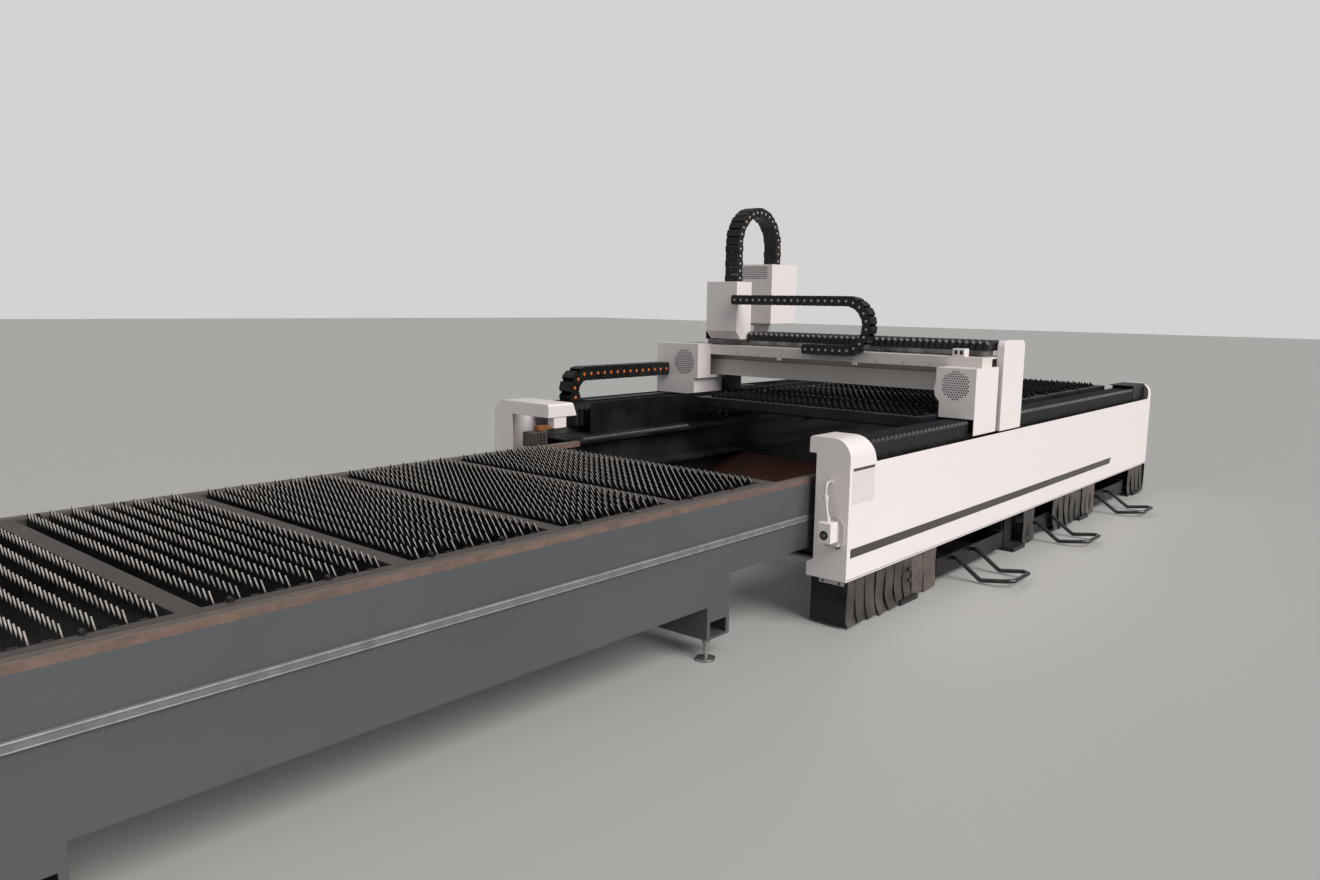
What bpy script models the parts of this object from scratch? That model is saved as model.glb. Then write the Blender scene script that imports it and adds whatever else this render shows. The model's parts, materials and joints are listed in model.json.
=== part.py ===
"""Fiber laser cutting machine with a two-level exchange table.

Metres, +Z up, +X along the machine from the exchange table to the cutting bed.
The pieces are placed in a datum frame: X = 0 at the end face of the white side
covers, Y = 0 at the outer face of the near cover and Z = 0 on the floor. One
empty then moves that frame so that the origin lies under the middle of the machine.
"""

import math

import bmesh
import bpy
from mathutils import Matrix, Vector

# Clearances
SEAT_GAP = 0.0003
OVERRUN = 0.02

# Pallets and the paths they run on
PALLET_BAY = 0.646
PALLET_BAYS = 5
PALLET_BAR = 0.066
PALLET_A_START = -3.509
PALLET_B_START = 1.157
PALLET_A_WIDTH = 1.531
PALLET_A_CLEAR = 0.2635
PALLET_B_WIDER = 0.0285
PALLET_B_WIDTH = PALLET_A_WIDTH + 2 * PALLET_B_WIDER
PALLET_MIDDLE_Y = PALLET_A_CLEAR + PALLET_A_WIDTH / 2
FAR_FACE = 2 * PALLET_MIDDLE_Y
PALLET_A_DEPTH = 0.092
PALLET_B_DEPTH = 0.092
PALLET_BAR_DEPTH = 0.055
PALLET_SIDE = 0.040
SLAT_SHEET = 0.004
SLATS_PER_BAY = 8
SLAT_ABOVE_RIM = 0.030
SLAT_DEPTH = 0.110
TIE_WIDTH = 0.012
WHEEL_RADIUS = 0.045
WHEEL_WIDTH = 0.018
WHEELS_PER_SIDE = 4
WHEEL_BRACKET = 0.017
WHEEL_BRACKET_LENGTH = 0.030
WHEEL_INSET = 0.300
WHEEL_A_OFFSET = 0.0025
WHEEL_B_OFFSET = -0.013
WHEEL_OVERLAP = 0.001
UPPER_TRACK = 0.693
TRACK_STEP = 0.190
LOWER_TRACK = UPPER_TRACK - TRACK_STEP
PALLET_B_RISE = 0.189
PALLET_A_TOP = UPPER_TRACK
PALLET_B_TOP = UPPER_TRACK + PALLET_B_RISE
BED_RISE = 0.007
BED_TOP = UPPER_TRACK + BED_RISE
UPPER_TRACK_THICK = 0.018
LOWER_TRACK_THICK = 0.014
UPPER_TRACK_REACH = 0.261
LOWER_TRACK_REACH = 0.310

# Slag trays set the bed's length
FIRST_TRAY_START = 1.000
SLAG_TRAY_WIDTH = 0.980
SLAG_TRAY_COUNT = 3
TRAY_LEG_SPACE = 0.250
TRAY_PITCH = SLAG_TRAY_WIDTH + TRAY_LEG_SPACE
LAST_TRAY_START = FIRST_TRAY_START + (SLAG_TRAY_COUNT - 1) * TRAY_PITCH
LAST_TRAY_END = LAST_TRAY_START + SLAG_TRAY_WIDTH
BED_TAIL = 0.420
BED_END = LAST_TRAY_END + BED_TAIL

# White side covers
COVER_REAR_REACH = 0.046
COVER_LENGTH = BED_END + COVER_REAR_REACH
COVER_SHEET = 0.004
COVER_BOTTOM = 0.226
COVER_PANEL_RISE = 0.068
COVER_PANEL_TOP = BED_TOP + COVER_PANEL_RISE
COVER_RISE = 0.193
COVER_TOP = BED_TOP + COVER_RISE
HOOD_RADIUS = 0.090
HOOD_LIP_RADIUS = 0.016
HOOD_DEPTH = 0.079
HOOD_UNDERSIDE = COVER_TOP - HOOD_DEPTH
HOOD_LENGTH = 0.200
HOOD_SLANT = 0.048
END_POST_LENGTH = 0.036
NEAR_HOOD_REACH = 0.218
NEAR_WAIST = 0.180
FAR_COVER_OUT = 0.427
FAR_COVER_OUTER = FAR_FACE + FAR_COVER_OUT
FAR_HOOD_REACH = 0.485
FAR_WAIST = 0.165
COVER_FOOT_REACH = 0.216
COVER_STEP_TOP = 0.312
COVER_STEP_BOTTOM = 0.290

# Bed
BED_NEAR_OUTER = 0.050
BED_NEAR_INNER = 0.185
BED_FAR_OUT = 0.132
BED_FAR_OUTER = FAR_FACE + BED_FAR_OUT
BED_START = 0.020
BED_BOTTOM = 0.200
BED_WALL = 0.010
LEG_WIDTH = 0.120
FIRST_LEG_SPACE = 0.380
LAST_LEG_SPACE = 0.200
SECOND_LEG = FIRST_TRAY_START + SLAG_TRAY_WIDTH + TRAY_LEG_SPACE / 2
LEG_PLACES = (
    FIRST_TRAY_START - FIRST_LEG_SPACE,
    SECOND_LEG,
    SECOND_LEG + TRAY_PITCH,
    LAST_TRAY_END + LAST_LEG_SPACE,
)
PAD_LENGTH = 0.190
PAD_THICK = 0.025
PAD_OUT = 0.070
CROSS_BEAM_FRONT_X = 0.750
CROSS_BEAM_REAR_SPACE = 0.180
CROSS_BEAM_REAR_X = LAST_TRAY_END + CROSS_BEAM_REAR_SPACE
CROSS_BEAM_WIDTH = 0.080
CROSS_BEAM_DROP = 0.033
CROSS_BEAM_TOP = LOWER_TRACK - CROSS_BEAM_DROP
CROSS_BEAM_DEPTH = 0.150
TRACK_WEB = 0.012
TRACK_TAIL = 0.260
TRACK_END = BED_END - TRACK_TAIL
BAFFLE_FOOT_X = 1.150
BAFFLE_HEAD_X = 1.620
BAFFLE_FOOT_Z = 0.230
BAFFLE_DROP = 0.033
BAFFLE_HEAD_Z = LOWER_TRACK - BAFFLE_DROP
BAFFLE_SHEET = 0.005

# Guide rails, racks, guard and chain tray
NEAR_RAIL_Y = 0.135
FAR_RAIL_OUT = 0.052
FAR_RAIL_Y = FAR_FACE + FAR_RAIL_OUT
RAIL_WIDTH = 0.034
RAIL_HEIGHT = 0.034
RAIL_MARGIN = 0.050
RACK_WIDTH = 0.024
RACK_HEIGHT = 0.026
RACK_TOOTH_PITCH = 0.120
RACK_TOOTH_DEPTH = 0.006
GUARD_SHEET = 0.004
GUARD_RISE = 0.19
GUARD_TOP = BED_TOP + GUARD_RISE
GUARD_IN = 0.078
GUARD_FACE_Y = FAR_FACE - GUARD_IN
GUARD_START = 0.300
GUARD_FOOT = 0.030
TRAY_RISE = 0.07
TRAY_FLOOR = BED_TOP + TRAY_RISE
TRAY_FOOT_DROP = 0.1
TRAY_FOOT = BED_TOP - TRAY_FOOT_DROP
CHAIN_TRAY_OUT = 0.230
TRAY_OUTER = BED_FAR_OUTER + CHAIN_TRAY_OUT
TRAY_WALL = 0.090
TRAY_SHEET = 0.004
TRAY_START = 0.300
TRAY_TAIL = 0.060
TRAY_END = BED_END - TRAY_TAIL

# Slag trays
SLAG_TRAY_FRONT = 0.030
SLAG_TRAY_BACK_MARGIN = 0.038
SLAG_TRAY_LENGTH = FAR_FACE - SLAG_TRAY_FRONT - SLAG_TRAY_BACK_MARGIN
SLAG_TRAY_BOTTOM = 0.034
SLAG_TRAY_TOP = 0.136
SLAG_TRAY_SHEET = 0.004
SLAG_TRAY_RIM = 0.030
RUNNER_REACH = 0.018
RUNNER_SHEET = 0.006
RUNNER_SIDE = 0.008
RUNNER_GAP = 0.004
HANDLE_TUBE = 0.0125
HANDLE_WIDTH = 0.270
HANDLE_OFFSET = -0.150
HANDLE_BOLT_Z = 0.114
HANDLE_BEND_Y = -0.140
HANDLE_BEND_Z = 0.018
HANDLE_OUT_Y = -0.322
HANDLE_OUT_Z = 0.040
HANDLE_CHAMFER = 0.035

# Skirts under the near cover
SKIRT_SHEET = 0.005
SKIRT_WAVE = 0.005
SKIRT_WAVE_PITCH = 0.120
SKIRT_INSET = 0.016
SKIRT_FLOOR_GAP = 0.002
SKIRT_END_DEPTH = 0.190
SKIRT_TRAY_GAP = 0.030
SKIRT_TRAY_OVERLAP = 0.005
SKIRT_HANDLE_GAP = 0.025
SKIRT_HANDLE_SIDE = 0.045
SKIRT_LEG_REACH = 0.115
SKIRT_SPLIT = 0.020
SKIRT_LAST_HANDLE_GAP = 0.035
SKIRT_REAR_GAP = 0.020
SKIRT_REAR_REACH = 0.030
SECOND_TRAY_START = FIRST_TRAY_START + TRAY_PITCH
HANDLE_START = SLAG_TRAY_WIDTH / 2 + HANDLE_OFFSET - HANDLE_WIDTH / 2
SECOND_HANDLE_START = SECOND_TRAY_START + HANDLE_START
SKIRT_LEG_END = SECOND_TRAY_START + SLAG_TRAY_WIDTH + SKIRT_LEG_REACH
SKIRT_SPANS = (
    (SKIRT_INSET, FIRST_TRAY_START - SKIRT_TRAY_GAP),
    (SECOND_TRAY_START - SKIRT_TRAY_OVERLAP, SECOND_HANDLE_START - SKIRT_HANDLE_GAP),
    (SECOND_HANDLE_START + HANDLE_WIDTH + SKIRT_HANDLE_SIDE, SKIRT_LEG_END),
    (SKIRT_LEG_END + SKIRT_SPLIT, LAST_TRAY_START + HANDLE_START - SKIRT_LAST_HANDLE_GAP),
    (LAST_TRAY_END + SKIRT_REAR_GAP, BED_END + SKIRT_REAR_REACH),
)
SKIRT_STEPS_PER_WAVE = 4

# Sensor box on the end face, and its lead
SENSOR_LOW = (-0.115, 0.022, 0.425)
SENSOR_SIZE = (0.075, 0.070, 0.095)
SENSOR_BACK = 0.012
SENSOR_BACK_HEIGHT = 0.165
LEAD_RADIUS = 0.006
LEAD_ROUTE = (
    (-0.0004, 0.098, 0.690),
    (-0.022, 0.098, 0.690),
    (-0.036, 0.098, 0.680),
    (-0.043, 0.097, 0.660),
    (-0.046, 0.095, 0.636),
    (-0.050, 0.090, 0.610),
    (-0.056, 0.084, 0.585),
    (-0.064, 0.074, 0.560),
    (-0.0735, 0.063, 0.537),
    (-0.0750, 0.0615, 0.5213),
)

# Exchange table
TABLE_START = -3.560
TABLE_END = 0.060
TABLE_NEAR_Y = 0.2184
TABLE_SHEET = 0.008
TABLE_RIM_HEIGHT = 0.029
TABLE_DEEP = 0.235
TABLE_SHALLOW = 0.355
TABLE_LEG_BOTTOM = 0.090
TABLE_LEG_WIDTH = 0.155
TABLE_LEG_STARTS = (-3.324, -0.754)
TABLE_LEG_DEPTH = 0.280
TABLE_LEG_WALL = 0.008
TABLE_WINDOW_WIDTH = 0.110
TABLE_WINDOW_LOW = 0.100
TABLE_WINDOW_HIGH = 0.166
TABLE_RIDGE_Z = LOWER_TRACK
TABLE_RIDGE_HEIGHT = 0.026
TABLE_RIDGE_OUT = 0.010
TABLE_CROSS_X = -0.560
TABLE_CROSS_WIDTH = 0.080
TABLE_CROSS_DROP = 0.033
TABLE_CROSS_TOP = LOWER_TRACK - TABLE_CROSS_DROP
TABLE_CROSS_DEPTH = 0.110
FOOT_X_INSET = 0.020
FOOT_Y_INSET = 0.020
FOOT_DISC_RADIUS = 0.042
FOOT_DISC_HEIGHT = 0.012
FOOT_CONE_HEIGHT = 0.022
FOOT_STEM_RADIUS = 0.010
FOOT_NUT_RADIUS = 0.017
FOOT_NUT_HEIGHT = 0.014
DRIVE_CHAIN_WIDTH = 0.014
DRIVE_CHAIN_HEIGHT = 0.018
DRIVE_CHAIN_LINK = 0.060
DRIVE_CHAIN_NOTCH = 0.003
DRIVE_CHAIN_START = 0.090
DRIVE_CHAIN_END = 1.050

# Gantry
GANTRY_FRONT = 1.377
BEAM_FRONT = 1.600
BEAM_BACK = 1.900
BEAM_RISE = 0.3
BEAM_BOTTOM = BED_TOP + BEAM_RISE
BEAM_HEIGHT = 0.21
BEAM_TOP = BEAM_BOTTOM + BEAM_HEIGHT
LEDGE_FRONT = 1.520
LEDGE_HEIGHT = 0.067
BEAM_RECESS = 0.034
BEAM_RECESS_DEPTH = 0.050
BEAM_WALL = 0.012
BEAM_FAR_OUT = 0.122
BEAM_FAR_END = FAR_FACE + BEAM_FAR_OUT
END_BOX_LENGTH = 0.313
END_BOX_RISE = 0.154
END_BOX_TOP = BEAM_BOTTOM + END_BOX_RISE
END_BOX_CLEAR = 0.17
END_BOX_BOTTOM = BED_TOP + END_BOX_CLEAR
END_BOX_OUTER = 0.015
END_BOX_INNER = 0.254
END_BOX_SKIRT_CLEAR = 0.079
END_BOX_SKIRT = BED_TOP + END_BOX_SKIRT_CLEAR
END_BOX_SHEET = 0.004
END_BULGE = 0.010
END_BULGE_RISE = 0.03
END_BULGE_Z = BEAM_BOTTOM + END_BULGE_RISE
END_BULGE_HALF = 0.045
END_STEP_IN = 0.025
END_STEP_DROP = 0.042
END_STEP_Z = BEAM_BOTTOM - END_STEP_DROP
FAR_BOX_IN = 0.068
FAR_BOX_OUT = 0.299
FAR_BOX_INNER = FAR_FACE - FAR_BOX_IN
FAR_BOX_OUTER = FAR_FACE + FAR_BOX_OUT
FAR_BOX_RISE = 0.006
FAR_BOX_TOP = BEAM_TOP + FAR_BOX_RISE
FAR_BOX_STEP_DROP = 0.02
FAR_BOX_STEP = BEAM_BOTTOM - FAR_BOX_STEP_DROP
FAR_BOX_STEP_IN = 0.030
PLATE_START = 1.720
PLATE_LENGTH = 0.315
PLATE_THICK = 0.046
PLATE_CLEAR = 0.077
PLATE_BOTTOM = BED_TOP + PLATE_CLEAR
PLATE_RISE = 0.095
PLATE_TOP = BEAM_TOP + PLATE_RISE
PLATE_RADIUS = 0.045
PLATE_OUTER = 0.000
SLIDER_WIDTH = 0.090
SLIDER_START = 1.730
SLIDER_LENGTH = 0.260
SLIDER_GAP = 0.0006
BEAM_RAIL_X = 1.710
BEAM_RAIL_WIDTH = 0.030
BEAM_RAIL_HEIGHT = 0.034
SWITCH_BOX = (0.060, 0.075, 0.046)
SWITCH_BOX_X = 1.535
SWITCH_BOX_Y = 0.160

# Carriage and head
CARRIAGE_FRONT = 1.500
CARRIAGE_DEPTH = 0.170
CARRIAGE_IN = 0.293
CARRIAGE_LOW_Y = FAR_FACE - CARRIAGE_IN
CARRIAGE_WIDTH = 0.256
CARRIAGE_CLEAR = 0.042
CARRIAGE_BOTTOM = BEAM_TOP + CARRIAGE_CLEAR
CARRIAGE_CHAMFER_RISE = 0.055
CARRIAGE_CHAMFER_Z = CARRIAGE_BOTTOM + CARRIAGE_CHAMFER_RISE
CARRIAGE_CHAMFER_X = 0.055
CARRIAGE_HEIGHT = 0.388
CARRIAGE_TOP = CARRIAGE_BOTTOM + CARRIAGE_HEIGHT
SADDLE_CLEAR = 0.06
SADDLE_LOW = BEAM_TOP + SADDLE_CLEAR
SADDLE_THICK = 0.075
SADDLE_TOP = SADDLE_LOW + SADDLE_THICK
SADDLE_FRONT = 1.6703
ARM_WIDTH = 0.070
ARM_FAR_MARGIN = 0.015
MAST_FRONT = 1.930
MAST_THICK = 0.020
MAST_DROP = 0.13
MAST_BOTTOM = BEAM_TOP - MAST_DROP
MAST_RISE = 0.42
MAST_TOP = BEAM_TOP + MAST_RISE
MAST_SIDE_MARGIN = 0.030
HEAD_FRONT = 1.910
HEAD_DEPTH = 0.315
HEAD_RISE = 0.145
HEAD_BOTTOM = BEAM_TOP + HEAD_RISE
HEAD_HEIGHT = 0.415
HEAD_TOP = HEAD_BOTTOM + HEAD_HEIGHT
HEAD_SHEET = 0.004
HEAD_SLOT_HEIGHT = 0.130
HEAD_SLOT_MARGIN = 0.008
HEAD_WIDTH = 0.285
LASER_BLOCK_WIDTH = 0.110
LASER_BLOCK_RISE = 0.39
LASER_BLOCK_TOP = BEAM_TOP + LASER_BLOCK_RISE
NOZZLE_RISE = 0.03
NOZZLE_TIP = BEAM_BOTTOM + NOZZLE_RISE
NOZZLE_TIP_RADIUS = 0.006
NOZZLE_RADIUS = 0.024
NOZZLE_LENGTH = 0.055
COLLIMATOR_RADIUS = 0.034
COLLIMATOR_SETBACK = 0.075

# Bellows
RAIL_BELLOWS_CLEAR = 0.045
RAIL_BELLOWS_LOW = BED_TOP + RAIL_BELLOWS_CLEAR
RAIL_BELLOWS_RISE = 0.162
RAIL_BELLOWS_TOP = BED_TOP + RAIL_BELLOWS_RISE
RAIL_BELLOWS_NEAR_LOW_Y = 0.048
RAIL_BELLOWS_WIDTH = 0.156
BELLOWS_FOLD = 0.065
BELLOWS_FOLD_DEPTH = 0.014
BELLOWS_TAIL = 0.030
BELLOWS_END = BED_END - BELLOWS_TAIL
BEAM_BELLOWS_FRONT = 1.620
BEAM_BELLOWS_WIDTH = 0.190
BEAM_BELLOWS_RISE = 0.095
BEAM_BELLOWS_TOP = BEAM_TOP + BEAM_BELLOWS_RISE
BEAM_BELLOWS_END = 0.060
BEAM_BELLOWS_FAR_OUT = 0.062
BEAM_BELLOWS_FAR = FAR_FACE + BEAM_BELLOWS_FAR_OUT

# Cable chains
CHAIN_X_THICK = 0.090
CHAIN_X_WIDTH = 0.100
CHAIN_X_SIDE_GAP = 0.055
CHAIN_X_Y = BED_FAR_OUTER + CHAIN_X_SIDE_GAP
CHAIN_X_RADIUS = 0.108
CHAIN_X_BEND_X = 0.560
CHAIN_X_LOWER_END = 2.450
CHAIN_LINK_X = 0.085
CHAIN_Y_THICK = 0.065
CHAIN_Y_WIDTH = 0.080
CHAIN_Y_RADIUS = 0.152
CHAIN_Y_RUN = 0.865
CHAIN_Y_BEND_Y = CARRIAGE_LOW_Y - CHAIN_Y_RUN
CHAIN_Y_LOWER_RUN = 0.300
CHAIN_Y_LOWER_END = CHAIN_Y_BEND_Y + CHAIN_Y_LOWER_RUN
CHAIN_Y_CLEAR = 0.0043
CHAIN_Y_LOWER_Z = BEAM_TOP + CHAIN_Y_CLEAR
CHAIN_LINK_Y = 0.060
CHAIN_Z_THICK = 0.065
CHAIN_Z_WIDTH = 0.105
CHAIN_Z_SIDE_GAP = 0.035
CHAIN_Z_LOW_Y = CARRIAGE_LOW_Y + CHAIN_Z_SIDE_GAP
CHAIN_Z_LEFT_X = 1.578
CHAIN_Z_RIGHT_X = 2.033
CHAIN_Z_RISE = 0.68
CHAIN_Z_CENTRE = BEAM_TOP + CHAIN_Z_RISE
CHAIN_LINK_Z = 0.060
CHAIN_NOTCH = 0.004
CHAIN_NOTCH_SHARE = 0.18

ARC_STEPS = 8
WHEEL_SIDES = 16
ROUND_SIDES = 20
TUBE_RESOLUTION = 2
TUBE_SIDES = 8

# Derived places used by several pieces
BED_FAR_INNER = 2 * PALLET_MIDDLE_Y - BED_NEAR_INNER
NEAR_WEB_IN = BED_NEAR_INNER + SEAT_GAP
BEAM_NEAR_END = PLATE_OUTER + PLATE_THICK + SEAT_GAP
TRACK_START = TABLE_END + SEAT_GAP
CHAIN_X_BEND_Z = TRAY_FLOOR + TRAY_SHEET + SEAT_GAP + CHAIN_X_THICK / 2 + CHAIN_X_RADIUS
NOZZLE_X = MAST_FRONT + MAST_THICK + COLLIMATOR_SETBACK
HEAD_LOW_Y = CARRIAGE_LOW_Y
HEAD_MIDDLE_Y = HEAD_LOW_Y + HEAD_WIDTH / 2
PALLET_LENGTH = PALLET_BAYS * PALLET_BAY + PALLET_BAR
SKIRT_TOP = COVER_BOTTOM - SEAT_GAP
ORIGIN_X = (TABLE_START + COVER_LENGTH) / 2
HANDLE_REACH = HANDLE_TUBE * math.cos(math.pi / TUBE_SIDES)
ORIGIN_Y = (HANDLE_OUT_Y - HANDLE_REACH + FAR_COVER_OUTER) / 2


def clear_scene():
    """Remove every object, so that the model starts in an empty scene."""
    for item in list(bpy.data.objects):
        bpy.data.objects.remove(item, do_unlink=True)


clear_scene()
MACHINE = bpy.data.collections.new("laser_cutting_machine")
CUTTERS = bpy.data.collections.new("cutters")
bpy.context.scene.collection.children.link(MACHINE)
bpy.context.scene.collection.children.link(CUTTERS)


def paint(name, colour, roughness, metallic=0.0):
    """A Principled material with one colour, roughness and metallic value."""
    material = bpy.data.materials.new(name)
    material.use_nodes = True
    shader = material.node_tree.nodes["Principled BSDF"]
    shader.inputs["Base Color"].default_value = (*colour, 1.0)
    shader.inputs["Roughness"].default_value = roughness
    shader.inputs["Metallic"].default_value = metallic
    return material


WHITE = paint("white_paint", (0.84, 0.81, 0.80), 0.35)
SLATE = paint("slate_paint", (0.075, 0.088, 0.097), 0.5)
RIM_STEEL = paint("worn_rim", (0.19, 0.12, 0.09), 0.6, 0.4)
BLACK_STEEL = paint("black_steel", (0.012, 0.014, 0.017), 0.45, 0.2)
BRIGHT_STEEL = paint("bright_steel", (0.45, 0.45, 0.45), 0.3, 1.0)
BLACK_FABRIC = paint("black_fabric", (0.010, 0.011, 0.013), 0.7)
BLACK_PLASTIC = paint("black_plastic", (0.012, 0.012, 0.013), 0.4)
SKIRT_RUBBER = paint("skirt_rubber", (0.055, 0.048, 0.045), 0.65)
GREY_BEAM = paint("grey_beam", (0.42, 0.41, 0.40), 0.4)
BROWN_STEEL = paint("brown_steel", (0.09, 0.045, 0.03), 0.7, 0.3)
CABLE_GREY = paint("cable_grey", (0.55, 0.53, 0.50), 0.5)


def add_mesh_object(name, mesh, matrix, collection=MACHINE):
    """Link a mesh as a new object with the given world matrix."""
    piece = bpy.data.objects.new(name, mesh)
    collection.objects.link(piece)
    piece.matrix_world = matrix
    return piece


def finish(piece, material, holder):
    """Give the piece its material and hang it on its body's empty."""
    piece.data.materials.clear()
    piece.data.materials.append(material)
    piece.parent = holder
    piece.matrix_parent_inverse = holder.matrix_world.inverted()
    return piece


def box(name, low, high):
    """A box between two corners of the datum frame."""
    shape = bmesh.new()
    bmesh.ops.create_cube(shape, size=1.0)
    for corner in shape.verts:
        corner.co = [end if side > 0 else start for side, start, end in zip(corner.co, low, high)]
    mesh = bpy.data.meshes.new(name)
    shape.to_mesh(mesh)
    shape.free()
    return add_mesh_object(name, mesh, Matrix.Identity(4))


def cylinder(name, centre, radius, length, axis, sides=ROUND_SIDES, tip_radius=None):
    """A cylinder or cone about X, Y or Z with its middle at centre."""
    shape = bmesh.new()
    tip = radius if tip_radius is None else tip_radius
    bmesh.ops.create_cone(
        shape, cap_ends=True, segments=sides, radius1=radius, radius2=tip, depth=length
    )
    mesh = bpy.data.meshes.new(name)
    shape.to_mesh(mesh)
    shape.free()
    turn = {
        "X": Matrix.Rotation(math.pi / 2, 4, "Y"),
        "Y": Matrix.Rotation(-math.pi / 2, 4, "X"),
        "Z": Matrix.Identity(4),
    }[axis]
    piece = add_mesh_object(name, mesh, Matrix.Translation(Vector(centre)) @ turn)
    mesh.shade_smooth()
    mesh.set_sharp_from_angle(angle=math.radians(40))
    return piece


def solid_from_curve(curve_object):
    """Turn a filled curve into a closed mesh object in the same place."""
    bpy.context.view_layer.update()
    evaluated = curve_object.evaluated_get(bpy.context.evaluated_depsgraph_get())
    mesh = bpy.data.meshes.new_from_object(evaluated)
    shape = bmesh.new()
    shape.from_mesh(mesh)
    bmesh.ops.remove_doubles(shape, verts=shape.verts, dist=SEAT_GAP / 10)
    bmesh.ops.recalc_face_normals(shape, faces=shape.faces)
    shape.to_mesh(mesh)
    shape.free()
    name = curve_object.name
    matrix = curve_object.matrix_world.copy()
    bpy.data.objects.remove(curve_object, do_unlink=True)
    piece = add_mesh_object(name, mesh, matrix)
    piece.name = name
    return piece


def in_plane(mesh, plane, start, end):
    """Turn a mesh that lies in XY into another plane, from start to end across it."""
    for vertex in mesh.vertices:
        across, up, height = vertex.co
        if plane == "XY":
            vertex.co = (across, up, end if height > 0 else start)
        elif plane == "XZ":
            vertex.co = (across, start if height > 0 else end, up)
        else:
            vertex.co = (end if height > 0 else start, across, up)


def plate(name, outlines, plane, start, end):
    """Flat outlines in a plane, extruded across it from start to end."""
    curve = bpy.data.curves.new(name, "CURVE")
    curve.dimensions = "2D"
    curve.fill_mode = "BOTH"
    curve.extrude = (end - start) / 2
    for outline in outlines:
        spline = curve.splines.new("POLY")
        spline.points.add(len(outline) - 1)
        for point, (across, up) in zip(spline.points, outline):
            point.co = (across, up, 0, 1)
        spline.use_cyclic_u = True
    flat = bpy.data.objects.new(name, curve)
    MACHINE.objects.link(flat)
    piece = solid_from_curve(flat)
    in_plane(piece.data, plane, start, end)
    return piece


def tube(name, points, radius):
    """A round bar or tube along a list of points."""
    curve = bpy.data.curves.new(name, "CURVE")
    curve.dimensions = "3D"
    curve.bevel_depth = radius
    curve.bevel_resolution = TUBE_RESOLUTION
    curve.use_fill_caps = True
    spline = curve.splines.new("POLY")
    spline.points.add(len(points) - 1)
    for point, place in zip(spline.points, points):
        point.co = (*place, 1)
    piece = bpy.data.objects.new(name, curve)
    MACHINE.objects.link(piece)
    return piece


def combine(piece, tool, operation):
    """Join or cut a piece with a tool that stays hidden among the cutters."""
    change = piece.modifiers.new(tool.name, "BOOLEAN")
    change.operation = operation
    change.solver = "EXACT"
    change.object = tool
    for owner in list(tool.users_collection):
        owner.objects.unlink(tool)
    CUTTERS.objects.link(tool)
    tool.hide_render = True
    tool.display_type = "WIRE"
    return piece


def repeat(piece, count, step):
    """Copies of a piece at a constant offset along its own axes."""
    array = piece.modifiers.new("repeat", "ARRAY")
    array.count = count
    array.use_relative_offset = False
    array.use_constant_offset = True
    array.constant_offset_displace = step
    array.use_merge_vertices = False
    return piece


def arc(centre_a, centre_b, radius, first, last, steps=ARC_STEPS):
    """Points of an arc, with its angles in degrees."""
    points = []
    for index in range(steps + 1):
        angle = math.radians(first + (last - first) * index / steps)
        points.append((centre_a + radius * math.cos(angle), centre_b + radius * math.sin(angle)))
    return points


def rectangle(low_a, high_a, low_b, high_b):
    """The four corners of an upright rectangle."""
    return [(low_a, low_b), (high_a, low_b), (high_a, high_b), (low_a, high_b)]


def settle_modifiers():
    """Apply the cuts and joins while every piece still lies in the datum frame."""
    bpy.context.view_layer.update()
    scene_state = bpy.context.evaluated_depsgraph_get()
    settled = {}
    for piece in MACHINE.objects:
        if piece.type == "MESH" and piece.modifiers:
            settled[piece] = bpy.data.meshes.new_from_object(piece.evaluated_get(scene_state))
    for piece, mesh in settled.items():
        piece.modifiers.clear()
        piece.data = mesh
    for tool in list(CUTTERS.objects):
        bpy.data.objects.remove(tool, do_unlink=True)


def body_empty(name, place, holder=None):
    """The empty that carries one moving body."""
    empty = bpy.data.objects.new(name, None)
    MACHINE.objects.link(empty)
    empty.location = place
    if holder is not None:
        empty.parent = holder
        bpy.context.view_layer.update()
        empty.matrix_parent_inverse = holder.matrix_world.inverted()
    bpy.context.view_layer.update()
    return empty


MACHINE_ORIGIN = body_empty("machine_origin", (0, 0, 0))
GANTRY_ORIGIN = body_empty("gantry_origin", (GANTRY_FRONT, NEAR_RAIL_Y, BED_TOP), MACHINE_ORIGIN)
CARRIAGE_ORIGIN = body_empty("carriage_origin", (BEAM_RAIL_X, HEAD_MIDDLE_Y, BEAM_TOP), GANTRY_ORIGIN)
HEAD_ORIGIN = body_empty("head_origin", (NOZZLE_X, HEAD_MIDDLE_Y, NOZZLE_TIP), CARRIAGE_ORIGIN)
PALLET_A_ORIGIN = body_empty(
    "pallet_a_origin", (PALLET_A_START, PALLET_MIDDLE_Y, LOWER_TRACK), MACHINE_ORIGIN
)
PALLET_B_ORIGIN = body_empty(
    "pallet_b_origin", (PALLET_B_START, PALLET_MIDDLE_Y, UPPER_TRACK), MACHINE_ORIGIN
)


def slag_tray_start(index):
    """The X of a slag tray's left rim edge."""
    return FIRST_TRAY_START + index * TRAY_PITCH


def runner_outline(edge, towards):
    """Corners of one tray runner: a hanger below the beam with a ledge at its foot.

    The runner hangs beside a tray rim's edge and reaches towards the tray.
    """
    ledge_top = SLAG_TRAY_TOP - SLAG_TRAY_SHEET - SEAT_GAP
    ledge_low = ledge_top - RUNNER_SHEET
    inner = edge - towards * RUNNER_GAP
    outer = inner - towards * RUNNER_SIDE
    tip = edge + towards * RUNNER_REACH
    top = BED_BOTTOM + BED_WALL / 2
    corners = [(outer, top), (outer, ledge_low), (tip, ledge_low)]
    corners += [(tip, ledge_top), (inner, ledge_top), (inner, top)]
    return corners if towards > 0 else corners[::-1]


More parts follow.
